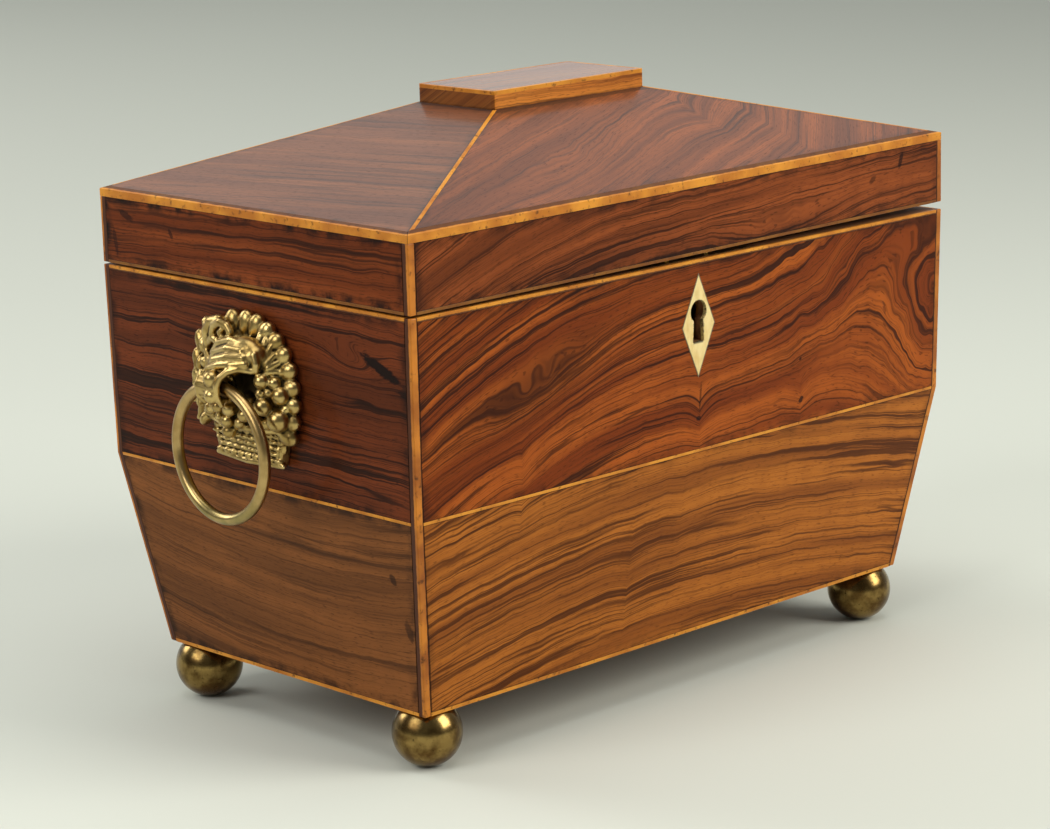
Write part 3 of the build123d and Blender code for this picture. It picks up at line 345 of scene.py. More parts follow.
def veneer(
    name, nodes, tones, seed, figure, edges,
    eyes=(), pinches=(), knots=(), shade=None, streaks=1.0, grime=0.5, gloss=0.05,
):
    """Dress some leaves in polished rosewood of a light, a middle and a dark tone.

    figure turns the place on the object into the run along the grain, the place across it, and the
    grain's own phase. edges gives the distance to the nearest upright and level edge. Eyes are given as
    (place, lean, reach, part, rings) and pinches as (place, width, height, depth). Knots are dark spots
    as (place, lean, reach, strength), and shade is a broad darker patch of the same kind. gloss is how
    much of the room the polish gives back.
    """
    material, tree, shader = finish(
        name, Specular_IOR_Level=gloss, Coat_Weight=gloss, Coat_Roughness=0.1
    )
    place = where(tree)
    u, v, phase = figure(*place)
    for eye in eyes:
        phase = phase + eye_at(u, v, *eye)["Shift"]
    for pinch in pinches:
        phase = phase + pinch_at(u, v, *pinch)
    light, mid, dark = (tone(*colour) for colour in tones)
    inputs = {
        "Across": phase, "Along": u, "Seed": seed, "Streaks": streaks,
        "Light": light, "Mid": mid, "Dark": dark,
    }
    grain = use_group(tree, "rosewood_grain", inputs)
    colour = grain["Colour"]
    fray = cloud(tree, u / 1.6, v / 0.8, seed, 3.0)
    for *spot, strength in knots:
        nearness = eye_at(u, v, *spot)["Nearness"] + (fray - 0.5) * 0.7
        colour = blend(tree, nearness.over(0.4, 0.72) * strength, colour, tone(26, 12, 8))
    if shade:
        *spot, strength = shade
        colour = blend(tree, eye_at(u, v, *spot)["Nearness"] * strength, colour, dark)
    side, level = edges(*place)
    inputs = {"From side": side, "From level edge": level, "Along": u, "Across": v, "Grime": grime}
    dirty = use_group(tree, "edge_dirt", inputs)["Mask"]
    colour = blend(tree, dirty, colour, tone(24, 12, 8))
    wire(tree, shader, colour, grain["Roughness"], grain["Height"], relief=0.12)
    dress(material, *nodes)


body_half_width = 100.0
body_half_depth = 58.6
seam_height = 117.3
waist_height = 67.0
body_foot_height = 15.2
waist_inset = 0.7
body_foot_inset = 9.0
corner_string = 2.2
rim_string = 1.1
half_cross_string = 0.4
half_sizes = {"x": body_half_width, "y": body_half_depth}


def body_edges(run, low, high, inset_at_high, inset_at_low):
    """Distances to the edges of a body leaf whose outline narrows downwards."""
    def edges(x, y, z):
        u = x if run == "x" else y
        inset = (z - high) * ((inset_at_low - inset_at_high) / (low - high)) + inset_at_high
        side = (half_sizes[run] - corner_string) - (abs(u) + inset)
        return side, (z - low).math("MINIMUM", high - z)

    return edges


def upper_edges(run):
    low, high = waist_height + half_cross_string, seam_height - rim_string
    return body_edges(run, low, high, 0.0, waist_inset)


def lower_edges(run):
    low, high = body_foot_height + 1.0, waist_height - half_cross_string
    return body_edges(run, low, high, waist_inset, body_foot_inset)


def arches(axes, left_arch, right_arch, middle=0.0):
    """Grain that arches over a middle line, on two of the axes, with its own bend to each side."""
    def figure(*place):
        u, v = (place["xyz".index(axis)] for axis in axes)
        left = (u - middle).math("MINIMUM", 0.0)**2.0
        right = (u - middle).math("MAXIMUM", 0.0)**2.0
        return u, v, v + left * left_arch + right * right_arch

    return figure


def front_upper_figure(*place):
    """Arches, and rings round a point near the right end that run out into them."""
    u, v, phase = arches("xz", 0.0026, 0.0012)(*place)
    ring_x, ring_z, ring_height_share, ring_reach, ring_phase = 97.0, 96.0, 1.3, 42.0, 96.5
    along, across = u - ring_x, v - ring_z
    far = (along**2.0 + (across / ring_height_share)**2.0).math("SQRT")
    far = far + (cloud(u.tree, along / 13, across / 17, 2.7, 2.0) - 0.5) * 13.0
    share = ((far / ring_reach)**2.0 * -1.0).math("EXPONENT")
    return u, v, phase + (ring_phase - far * 0.8 - phase) * share


veneer(
    "front_upper_rosewood", ["front_upper_veneer"],
    ((164, 83, 27), (116, 50, 15), (48, 19, 7)), 4.0,
    front_upper_figure, upper_edges("x"),
    eyes=[((-60, 94.5), 20, (27, 8), 0.95, 5.0)],
    pinches=[((-64, 74), 5, 8, 3.4), ((0.5, 76), 5, 9, 4.2), ((40.5, 74), 3.5, 6, 2.6)],
    knots=[
        ((0.8, 81), 84, (4.5, 0.5), 0.6), ((0.2, 75.6), 0, (1.1, 0.9), 0.8),
        ((40.8, 73.4), 40, (1.4, 0.9), 0.85), ((40.5, 84.6), 10, (0.8, 0.5), 0.8),
    ],
    shade=((-58, 95), 22, (24, 6.5), 0.6),
)
veneer(
    "front_lower_rosewood", ["front_lower_veneer"],
    ((176, 104, 38), (138, 77, 28), (78, 39, 14)), 9.0,
    arches("xz", 0.0014, 0.0010), lower_edges("x"),
    pinches=[((-64, 62), 3.0, 6, 1.8), ((-22, 36), 3.0, 18, 1.5), ((-4, 50), 4.0, 14, 1.0)],
    streaks=1.15, grime=0.3,
)
veneer(
    "end_upper_rosewood", ["left_upper_veneer"],
    ((112, 52, 23), (84, 38, 16), (36, 16, 8)), 15.0,
    lambda x, y, z: (y, z, z - y * 0.02), upper_edges("y"),
    eyes=[((-37, 105.5), 14, (9, 3.6), 1.0, 4.5)],
    pinches=[((33, 104), 7.0, 7, -2.0)],
    knots=[((-47.5, 103.8), 22, (9.5, 1.9), 1.0), ((-56, 98.5), 10, (4, 1.0), 0.8)],
    streaks=1.2, grime=0.75,
)
veneer(
    "end_lower_rosewood", ["left_lower_veneer"],
    ((136, 82, 40), (106, 63, 30), (58, 33, 16)), 21.0,
    arches("yz", -0.0022, -0.0012, -22.0), lower_edges("y"),
    knots=[((-46, 51), 60, (2.0, 1.4), 0.7), ((-49, 38), 80, (3.5, 1.6), 0.6)],
    streaks=0.55, grime=0.8,
)


def back_edges(x, y, z):
    side = (body_half_width - corner_string) - abs(x)
    return side, abs(z - waist_height)


# The right end and the back are plainer leaves of a redder wood
plain_tones = ((140, 70, 32), (104, 48, 22), (40, 18, 11))
right_figure = arches("yz", 0.0012, 0.0016, 12.0)
veneer(
    "right_upper_rosewood", ["right_upper_veneer"], plain_tones, 27.0, right_figure, upper_edges("y")
)
veneer(
    "right_lower_rosewood", ["right_lower_veneer"], plain_tones, 33.0, right_figure, lower_edges("y")
)
veneer(
    "back_rosewood", ["back_veneers"], plain_tones, 39.0,
    arches("xz", 0.0011, 0.0015, -20.0), back_edges,
)

# Stringing: square strips of boxwood let into the arrises, the rim, the waist and the foot of the body, and
# round the lid, glued in and cleaned off level. They are worn a little round, and dirt has settled along
# them. The strings are the caddy's sharpest lines, so their edges are softened for the light to catch.


def line_finish(name, light, dark, speck_size, darkened):
    """A string's wood: patchy amber with dirt in it. darkened gives where stain has run over it."""
    material, tree, shader = finish(name, Specular_IOR_Level=0.15, Coat_Weight=0.1, Coat_Roughness=0.2)
    x, y, z = where(tree)
    specks = patchy(tree, speck_size, 4.0)
    edge_fray = (specks - 0.5) * 0.5
    colour = layered(
        tree,
        light,
        (patchy(tree, 11, 3.0).over(0.36, 0.66), dark),
        (specks.over(0.56, 0.72) * 0.7, (48, 24, 12)),
        (darkened(x, y, z, edge_fray), (62, 27, 11)),
    )
    wire(tree, shader, colour, specks * 0.25 + 0.28, specks, relief=0.15)
    return material


def from_arris(x, y):
    """How far in a place is from the planes of the ends, and of the front and back."""
    return body_half_width - abs(x), body_half_depth - abs(y)


def corner_stain(x, y, z, edge_fray):
    """The corner strings' edges under the polish: more on the ends than on the front and back."""
    upper_slant = waist_inset / (seam_height - waist_height)
    lower_slant = (body_foot_inset - waist_inset) / (waist_height - body_foot_height)
    inset = ((seam_height - z) * upper_slant).math("MAXIMUM", 0.0).math("MINIMUM", waist_inset)
    inset = inset + (waist_height - z).math("MAXIMUM", 0.0) * lower_slant + edge_fray
    from_end, from_front = from_arris(x, y)
    on_end = (from_end - inset).over(1.75, 1.95)
    return on_end.math("MAXIMUM", (from_front - inset).over(0.75, 0.95)) * 0.95


def rim_stain(x, y, z, edge_fray):
    """The rim string's lower edge under the polish."""
    string_foot = seam_height - rim_string
    on_string = z.over(string_foot - 0.2, string_foot - 0.1)
    return on_string * (z + edge_fray).under(string_foot + 0.25, string_foot + 0.4) * 0.85


def eave_stain(x, y, z, edge_fray):
    """The eave string's upper side and the lid's rim, stained as dark as the leaves beside them."""
    from_end, from_front = from_arris(x, y)
    inward = from_end.math("MINIMUM", from_front) + edge_fray
    rim = (z - x * lid_lean).under(lid_rim_top, lid_rim_top + 1.0) * 0.7
    return (inward.over(0.45, 0.65) * 0.85).math("MAXIMUM", rim)


def placed(name, data):
    """A new object in the scene, at the origin."""
    made = bpy.data.objects.new(name, data)
    bpy.context.scene.collection.objects.link(made)
    return made


def piece(name, mesh, body, node):
    """A finished piece that rides a body and stands for a carried-over piece."""
    made = placed(name, mesh)
    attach(made, body)
    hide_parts(node)
    return made


def softened(name, node, body, material, width):
    """A copy of a carried-over piece with its edges rubbed round by a width in millimetres."""
    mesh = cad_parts[node].data.copy()
    mesh.name = name
    shape = bmesh.new()
    shape.from_mesh(mesh)
    bmesh.ops.remove_doubles(shape, verts=shape.verts, dist=0.00001)
    bmesh.ops.dissolve_limit(shape, angle_limit=0.01, verts=shape.verts, edges=shape.edges)
    shape.to_mesh(mesh)
    shape.free()
    mesh.materials.clear()
    mesh.materials.append(material)
    made = piece(name, mesh, body, node)
    rub = made.modifiers.new("rubbed_edges", "BEVEL")
    rub.width = width / 1000
    rub.segments = 2
    rub.limit_method = "ANGLE"
    rub.angle_limit = math.radians(35)


lid_lean = 1.5 / 200.0
lid_rim_top = 120.0
amber, dull_amber = (214, 142, 46), (178, 106, 30)
bright_string = line_finish("amber_string", amber, dull_amber, 1.5, rim_stain)
brown_string = line_finish("brown_string", (196, 120, 38), (146, 80, 24), 2.2, corner_stain)
eave_string = line_finish("eave_string", amber, dull_amber, 1.5, eave_stain)
softened("body_cross_strings", "body_cross_stringing", "root", bright_string, 0.15)
softened("body_corner_strings", "body_corner_stringing", "root", brown_string, 0.25)

# Escutcheon: a diamond of thin bone glued into the veneer over the lock. The keyhole is sawn and filed,
# and its edge is ragged and dark from the key; a dark line of glue runs round the diamond.

key_height = 103.8
diamond_half_width = 6.25
diamond_half_height = 13.7
diamond_middle_height = key_height - 3.7

bone, tree, shader = finish(
    "bone", Coat_Weight=0.3, Coat_Roughness=0.25, Subsurface_Weight=0.1, Subsurface_Scale=0.001
)
x, y, z = where(tree)
mottle = cloud(tree, x / 3, y / 3, z / 6, 3.0)
fray = patchy(tree, 0.7, 3.0)
across_diamond = abs(x) / diamond_half_width
rim = across_diamond + abs(z - diamond_middle_height) / diamond_half_height
rim = (rim + fray * 0.04) * (y + body_half_depth).under(0.6, 0.7)
over_key = z - key_height
hole = (x * x + over_key * over_key).math("SQRT")
worn = (hole + (fray - 0.5) * 1.2).under(2.7, 3.2)
leg = (abs(x) + (fray - 0.5)).under(1.7, 2.2)
leg = leg * over_key.over(-8.6, -8.1) * over_key.under(0.0, 0.5)
bone_colour = layered(
    tree,
    (232, 208, 142),
    (mottle.over(0.35, 0.7), (214, 182, 108)),
    (rim.over(0.955, 0.99) * 0.85, (60, 30, 16)),
    (worn.math("MAXIMUM", leg) * 0.9, (40, 20, 12)),
)
wire(tree, shader, bone_colour, mottle * 0.15 + 0.3, fray, relief=0.08)
dress(bone, "escutcheon")

# Lock: a small case of sheet brass screwed into a mortise in the front board, with a steel leaf spring
# that presses on the sliding bolt, and a link plate with two staples screwed under the lid. The hinges,
# screws and nuts are of the same plain brass.

plain_brass, tree, shader = finish("plain_brass", Metallic=1.0)
x, y, z = where(tree)
patches = patchy(tree, 5, 4.0)
file_marks = cloud(tree, x / 4, y / 0.25, z / 0.25, 2.0)
brass_colour = layered(tree, (196, 160, 88), (patches.over(0.4, 0.65), (132, 98, 46)))
wire(tree, shader, brass_colour, patches * 0.3 + 0.22, file_marks, relief=0.12)
dress(plain_brass, "lock_case", "lock_cap", "lock_bolt", "link_plate", "handle_nuts")
dress(plain_brass, "hinge_body_leaves", "hinge_lid_leaves", "hinge_pins", "body_screws", "lid_screws")

spring_steel, tree, shader = finish("spring_steel", Metallic=1.0)
patches = patchy(tree, 2, 4.0)
steel_colour = layered(tree, (120, 120, 122), (patches.over(0.45, 0.6), (70, 58, 50)))
wire(tree, shader, steel_colour, patches * 0.3 + 0.3)
dress(spring_steel, "bolt_spring")

# Ball feet: turned brass balls, cut flat where they meet the body and driven into the bottom on a spike.
# They are dark with age, painted darker over their lower half as shade, and each stands on a small worn
# flat.

ball_radius = 8.9
ball_flat_radius = 2.0
ball_seat_radius = 6.05
ball_middle = math.sqrt(ball_radius**2 - ball_flat_radius**2)
ball_out = 84.0
ball_back = 42.6

old_brass, tree, shader = finish("old_brass", Metallic=1.0)
x, y, z = where(tree)
clouds, spots = patchy(tree, 5, 4.0), patchy(tree, 1.1, 3.0)
turning = cloud(tree, 0.5, 0.5, z / 0.35, 2.0)
foot_colour = layered(
    tree,
    (150, 124, 72),
    (clouds.over(0.38, 0.64), (92, 70, 36)),
    (spots.over(0.6, 0.74) * 0.7, (46, 32, 18)),
    # painted shade: the lower half of each ball is darker
    (z.under(3.0, 8.0) * clouds.over(0.3, 0.6) * 0.5, (100, 66, 34)),
)
wire(tree, shader, foot_colour, clouds * 0.22 + spots * 0.12 + 0.06, turning, relief=0.04)


def mesh_of(shape, name):
    """A mesh from a finished bmesh, which is freed."""
    mesh = bpy.data.meshes.new(name)
    shape.to_mesh(mesh)
    shape.free()
    return mesh


def smooth_mesh(shape, name, material):
    """A smoothly shaded mesh of one material from a finished bmesh."""
    for face in shape.faces:
        face.smooth = True
    mesh = mesh_of(shape, name)
    mesh.materials.append(material)
    return mesh


def spun(name, middle, points, closed, axis, steps, material):
    """A mesh spun about an axis through middle, from points round it, all in millimetres."""
    shape = bmesh.new()
    middle = Vector(middle) / 1000
    line = [shape.verts.new(middle + Vector(point) / 1000) for point in points]
    ends = zip(line, line[1:] + line[:1]) if closed else zip(line, line[1:])
    edges = [shape.edges.new(pair) for pair in ends]
    bmesh.ops.spin(
        shape, geom=line + edges, cent=middle, axis=axis, angle=math.tau, steps=steps,
        use_merge=True, use_duplicate=False,
    )
    bmesh.ops.remove_doubles(shape, verts=shape.verts, dist=0.000001)
    bmesh.ops.recalc_face_normals(shape, faces=shape.faces)
    return smooth_mesh(shape, name, material)


ball_steps = 36
low_angle = -math.acos(ball_flat_radius / ball_radius)
high_angle = math.acos(ball_seat_radius / ball_radius)
ball_outline = [(0.0, 0.0, 0.0)]
for step in range(ball_steps + 1):
    angle = low_angle + (high_angle - low_angle) * step / ball_steps
    height = ball_middle + ball_radius * math.sin(angle)
    ball_outline.append((ball_radius * math.cos(angle), 0.0, height))
ball_outline.append((0.0, 0.0, height))

for side_x, side in ((-1, "left"), (1, "right")):
    for side_y, end in ((-1, "front"), (1, "back")):
        name = f"{end}_{side}_ball"
        place = (side_x * ball_out, side_y * ball_back, 0.0)
        ball = spun(name, place, ball_outline, False, (0, 0, 1), 72, old_brass)
        piece(name, ball, "root", f"{end}_{side}_foot")

# Ring handles: on each end a cast brass plate in the form of a basket of fruit under a leafy hood, held
# from inside by a stud and nut. A plain ring of satin brass wire hangs through a tunnel in the hood.

ring_centre_out = 111.19
ring_pivot_height = 95.0
ring_circle = 16.85
ring_wire = 1.5
wire_steps = 28

satin_brass, tree, shader = finish("satin_brass", Metallic=1.0)
x, y, z = where(tree)
film, rubs = patchy(tree, 8, 3.0), patchy(tree, 0.8, 3.0)
ring_colour = layered(
    tree,
    (190, 160, 106),
    (film.over(0.35, 0.7), (154, 124, 74)),
    # painted shade and reflection: the ring is darker and greener towards its bottom
    (z.under(60.0, 74.0) * film.over(0.3, 0.6) * 0.6, (136, 134, 84)),
)
wire(tree, shader, ring_colour, film * 0.16 + 0.22, rubs, relief=0.012)


def round_steps(steps):
    """The cosine and sine of equal steps round a circle."""
    turns = [math.tau * step / steps for step in range(steps)]
    return [(math.cos(turn), math.sin(turn)) for turn in turns]


wire_circle = [(ring_wire * b, ring_circle + ring_wire * a, 0.0) for a, b in round_steps(wire_steps)]
for side_x, side in ((-1, "left"), (1, "right")):
    name = f"{side}_hoop"
    place = (side_x * ring_centre_out, 0.0, ring_pivot_height - ring_circle)
    hoop = spun(name, place, wire_circle, True, (1, 0, 0), 120, satin_brass)
    piece(name, hoop, f"{side}_ring", f"{side}_ring")

# The cast plate is worked in its own millimetres: a to the right as seen from outside, b up and c out of
# the end, from the plate's middle. Its swellings are run together and smoothed as the casting wax was.
plate_seat = 0.02
wax = bmesh.new()
pressed_mesh = bpy.data.meshes.new("pressed_on")
small_ball, large_ball = bmesh.new(), bmesh.new()
bmesh.ops.create_icosphere(small_ball, subdivisions=2, radius=1.0)
bmesh.ops.create_icosphere(large_ball, subdivisions=4, radius=1.0)


def press_on(shape):
    """Add a placed shape to the wax. The shape is freed."""
    shape.to_mesh(pressed_mesh)
    shape.free()
    wax.from_mesh(pressed_mesh)


def lump(middle, size, turn=0.0):
    """An egg-shaped swelling, by its half sizes and its turn in degrees."""
    place = Matrix.Translation(Vector(middle)) @ Matrix.Rotation(math.radians(turn), 4, "Z")
    ball = (small_ball if max(size) < 1.5 else large_ball).copy()
    ball.transform(place @ Matrix.Diagonal((*size, 1.0)))
    press_on(ball)


def strand(*points):
    """A rounded ridge through points given as (a, b, c, radius)."""
    for first, second in zip(points, points[1:]):
        start, end = Vector(first), Vector(second)
        steps = math.ceil((end.xyz - start.xyz).length / (0.4 * min(start.w, end.w)))
        for step in range(steps + 1):
            spot = start.lerp(end, step / steps)
            lump(spot.xyz, (spot.w, spot.w, spot.w))


def slab(outline, height):
    """A block on the plate with an outline of (a, b) points, a little narrower at its face."""
    face_share = 0.97
    shape = bmesh.new()
    seat = shape.faces.new([shape.verts.new((a, b, plate_seat)) for a, b in outline])
    raised = bmesh.ops.extrude_face_region(shape, geom=[seat], use_keep_orig=True)["geom"]
    for vert in raised:
        if isinstance(vert, bmesh.types.BMVert):
            vert.co = Vector((vert.co.x * face_share, vert.co.y, height))
    bmesh.ops.recalc_face_normals(shape, faces=shape.faces)
    press_on(shape)


# Back of the plate and the swelling dome that carries everything
slab([(15.7 * a, 16.6 * b) for a, b in round_steps(48)], 1.6)
lump((0.0, 3.0, 0.9), (13.4, 13.0, 4.6))
lump((0.0, -2.5, 0.9), (13.0, 9.0, 5.6))

# Scalloped border: plump lobes down the front side, curled leaves at the top and down the back side
border_lobes = (
    (-4.4, 16.9, 95), (0.9, 17.3, 88), (4.9, 16.8, 75), (8.6, 15.3, 62), (11.7, 13.0, 48), (14.1, 10.0, 36),
    (15.9, 6.3, 22), (16.7, 2.1, 8), (16.8, -2.2, -5), (16.2, -6.5, -14), (15.0, -10.6, -22),
)
for a, b, heading in border_lobes:
    lump((a * 0.96, b * 0.96, 1.8), (3.3, 2.5, 2.1), heading)
    lump((a * 0.90, b * 0.90, 2.4), (2.6, 1.2, 1.8), heading)
side_leaves = (
    (-12.4, 14.0, 130, 3.1), (-15.9, 9.9, 108, 3.3), (-17.4, 5.4, 98, 3.0), (-18.0, 0.9, 88, 2.9),
    (-17.8, -3.4, 80, 2.8), (-16.4, -7.8, 70, 2.8),
)
for a, b, heading, reach in side_leaves:
    turn = math.radians(heading)
    along = Vector((math.cos(turn), math.sin(turn), 0.0))
    lump((a, b, 2.6), (reach, 1.9, 2.1), heading)
    root, tip = Vector((a, b, 4.5)) - along * reach * 0.7, Vector((a, b, 3.9)) + along * reach * 0.7
    strand((*root, 0.55), (*tip, 0.4))
    inner = along.cross(Vector((0, 0, 1))) * 1.9
    lump(Vector((a, b, 3.4)) + inner - along * 1.2, (2.4, 1.25, 2.1), heading - 14)

# Scrolled leaf at the top of the back side
strand((-11.5, 10.5, 4.6, 1.3), (-11.8, 13.4, 4.4, 1.5), (-9.6, 15.8, 4.4, 1.7), (-6.6, 16.6, 4.6, 1.6))
strand((-8.6, 13.2, 5.4, 1.0), (-7.4, 15.4, 5.6, 1.1), (-4.6, 16.7, 5.9, 1.2), (-2.0, 16.2, 6.0, 1.1))
strand((-2.0, 16.2, 6.0, 1.1), (-0.7, 14.6, 6.0, 1.0), (-1.6, 13.0, 6.2, 0.9), (-3.4, 12.9, 6.5, 0.8))
strand((-3.4, 12.9, 6.5, 0.8), (-4.3, 14.2, 6.6, 0.75), (-3.2, 15.0, 6.7, 0.65))
strand((-6.6, 11.8, 5.6, 1.2), (-8.8, 12.2, 5.2, 1.1), (-10.2, 11.0, 4.9, 1.0))
strand((-13.2, 11.6, 3.6, 0.8), (-12.4, 8.2, 4.4, 1.0), (-10.6, 6.2, 5.2, 1.1))

# Hood: a broad, worn leaf with grooved strands sweeping back over the tunnel
lump((5.6, 10.6, 6.4), (5.4, 3.9, 3.7))
lump((8.9, 9.8, 6.2), (3.2, 3.4, 3.7))
lump((2.0, 9.4, 7.2), (4.2, 3.4, 3.4))
strand((6.4, 12.7, 8.2, 1.1), (1.6, 13.2, 7.9, 1.2), (-4.0, 11.6, 7.2, 1.1), (-8.2, 8.6, 6.0, 0.8))
strand((7.4, 11.4, 9.4, 1.2), (2.2, 11.4, 9.6, 1.3), (-3.6, 9.6, 8.8, 1.2), (-7.4, 6.6, 7.4, 0.8))
strand((8.4, 10.0, 10.0, 1.2), (3.6, 9.7, 11.0, 1.3), (-1.6, 8.4, 10.8, 1.2), (-5.4, 5.8, 9.6, 0.8))
strand((9.2, 8.6, 10.0, 1.1), (5.4, 8.2, 11.6, 1.2), (1.4, 7.6, 12.2, 1.1), (-2.6, 6.4, 12.0, 0.9))
strand((10.6, 10.8, 8.2, 1.1), (11.4, 8.6, 8.4, 1.1), (10.9, 6.8, 8.2, 0.9))

# Rim of the mouth where the ring comes out, then the barrel that it turns in
strand((3.0, -2.0, 13.0, 0.75), (2.9, 0.4, 14.2, 0.8), (3.2, 3.0, 14.5, 0.85), (4.0, 5.2, 13.9, 0.9))
strand((4.0, 5.2, 13.9, 0.9), (5.6, 6.8, 12.6, 0.95), (7.8, 7.4, 11.0, 0.95), (10.2, 6.8, 9.0, 0.9))
strand((-4.2, 5.6, 13.0, 0.7), (-4.4, 2.6, 14.6, 0.7), (-4.2, -0.4, 14.2, 0.7), (-4.0, -2.2, 12.4, 0.7))
barrel_b, barrel_c, barrel_radius = 2.0, 11.5, 3.05
barrel_hoops, barrel_start, barrel_length = 12, -4.2, 7.0
for hoop in range(barrel_hoops):
    hoop_a = barrel_start + barrel_length * hoop / (barrel_hoops - 1)
    for b, c in round_steps(16):
        lump((hoop_a, barrel_b + barrel_radius * b, barrel_c + barrel_radius * c), (0.75, 0.75, 0.75))
lump((-1.0, 2.4, 5.4), (4.0, 3.8, 3.6))
strand((-8.4, 7.0, 6.8, 0.9), (-10.2, 4.0, 6.2, 1.0), (-9.8, 0.2, 6.2, 1.0), (-7.4, -2.0, 6.8, 0.8))

# Ribbed leaf between the hood and the border
for tip_a, tip_b in ((7.6, 14.4), (9.8, 13.6), (11.7, 12.2), (13.1, 10.4), (14.0, 8.4), (14.2, 6.4)):
    middle_a, middle_b = (10.6 + tip_a) / 2 + 0.3, (6.2 + tip_b) / 2
    strand((10.6, 6.2, 6.0, 0.6), (middle_a, middle_b, 5.6, 0.95), (tip_a, tip_b, 3.6, 0.8))

# Grapes and larger fruit
fruit = (
    (0.7, 4.5, 13.9, 2.1), (0.7, 0.2, 13.9, 2.1), (11.4, 4.1, 7.0, 2.0), (14.0, 3.6, 5.0, 1.7),
    (12.9, 1.3, 6.4, 1.15), (15.4, 0.6, 4.6, 2.3), (11.3, -2.3, 6.8, 2.4), (14.3, -5.8, 4.6, 3.0),
    (-5.0, -4.4, 7.6, 1.75), (-0.4, -4.4, 7.8, 1.95), (4.3, -5.4, 7.1, 1.8), (-2.4, -7.8, 7.0, 1.8),
    (-3.7, -10.9, 5.6, 1.9), (-7.5, -4.4, 7.2, 1.15), (-5.7, -7.2, 7.0, 1.15), (15.9, -3.0, 3.4, 1.2),
    (7.6, -3.4, 6.8, 1.9), (7.9, -7.0, 5.8, 1.7), (1.4, -7.9, 6.2, 1.5), (10.8, 1.0, 7.2, 1.3),
    (-10.0, -5.6, 5.6, 1.9), (-12.6, -2.6, 4.4, 2.0), (-13.4, 1.6, 4.4, 1.9), (10.6, -7.0, 5.0, 1.6),
    (-12.4, -7.0, 4.2, 1.7), (5.6, -1.0, 6.6, 1.6), (-13.0, 5.2, 4.2, 1.6),
)
for a, b, c, size in fruit:
    lump((a, b, c), (size, size, size))

# Basket: canes across a rim and a foot, woven over and under upright stakes
slab([(-14.6, -8.4), (-12.0, -18.2), (12.0, -18.6), (14.6, -8.4)], 2.6)
lump((0.0, -13.4, 1.6), (13.4, 5.6, 1.6))
strand((-15.4, -8.7, 2.6, 1.0), (-8.0, -9.2, 4.4, 1.1), (0.0, -9.4, 5.0, 1.1))
strand((0.0, -9.4, 5.0, 1.1), (8.0, -9.2, 4.4, 1.1), (15.4, -8.7, 2.6, 1.0))
strand((-12.4, -18.0, 2.2, 0.8), (0.0, -18.4, 3.2, 0.8), (12.4, -18.2, 2.2, 0.8))
weave_top, row_spacing, dash_spacing, stake_spacing = -10.9, 1.5, 2.75, 3.1


def basket_bulge(a):
    """How far round the basket's front swells at a place across it: 1 in the middle, less to the sides."""
    return 1.0 - (a / 18.0) ** 2


for row in range(5):
    row_b = weave_top - row_spacing * row
    row_reach = 13.4 + (row_b - weave_top) * 0.24
    for column in range(-5, 6):
        dash_a = (column + (row % 2) * 0.5) * dash_spacing
        if abs(dash_a) < row_reach:
            lump((dash_a, row_b, 2.5 + 0.7 * basket_bulge(dash_a)), (1.4, 0.5, 0.55))
for stake in range(-4, 5):
    a = stake * stake_spacing
    bulge = basket_bulge(a)
    strand((a, -9.6, 2.3 + 0.7 * bulge, 0.4), (a * 0.84, -17.8, 2.2 + 0.6 * bulge, 0.4))

wax_model = placed("casting_wax", mesh_of(wax, "casting_wax"))
skin = wax_model.modifiers.new("one_skin", "REMESH")
skin.mode = "VOXEL"
skin.voxel_size = 0.28
finished_wax = wax_model.evaluated_get(bpy.context.evaluated_depsgraph_get())
cast = bmesh.new()
cast.from_mesh(finished_wax.data)
wax_mesh = wax_model.data
bpy.data.objects.remove(wax_model)
for used in (wax_mesh, pressed_mesh):
    bpy.data.meshes.remove(used)
for ball in (small_ball, large_ball):
    ball.free()


def rub_down(times):
    for _ in range(times):
        bmesh.ops.smooth_vert(
            cast, verts=cast.verts, factor=0.5, use_axis_x=True, use_axis_y=True, use_axis_z=True
        )


rub_down(2)

# The ring's bore is reamed clear, and wider to both sides for the ring's curve
bore_radius, bore_reach = 2.1, 8.0
flare_from, flare = 4.0, 0.35
furthest_out = 16.0
for vert in cast.verts:
    off_axis = Vector((0.0, vert.co.y - barrel_b, vert.co.z - barrel_c))
    bore = bore_radius + max(0.0, abs(vert.co.x) - flare_from) * flare
    if abs(vert.co.x) < bore_reach and 0.001 < off_axis.length < bore:
        vert.co += off_axis * (bore / off_axis.length - 1.0)
    vert.co.z = min(max(vert.co.z, plate_seat), furthest_out)

# How deep every point lies in its hollow. It carries painted shade, with the dirt that polishing leaves, in
# the hollows, and a painted highlight on the ridges
original = [vert.co.copy() for vert in cast.verts]
cast.normal_update()
normals = [vert.normal.copy() for vert in cast.verts]
rub_down(24)
dirt_shade_and_highlight = [(vert.co - place).dot(normal) for vert, place, normal in zip(cast.verts, original, normals)]
# The ring's mouth is set deep, so it is painted dark as shade
mouth_a, mouth_b, mouth_half_width, mouth_half_height, mouth_floor = 5.5, 2.5, 4.5, 3.8, 9.5
for i, place in enumerate(original):
    mouth = math.hypot((place.x - mouth_a) / mouth_half_width, (place.y - mouth_b) / mouth_half_height)
    if mouth < 1.0 and place.z < mouth_floor:
        dirt_shade_and_highlight[i] = max(dirt_shade_and_highlight[i], 0.5 * (1.0 - mouth**3))
for vert, place in zip(cast.verts, original):
    vert.co = place

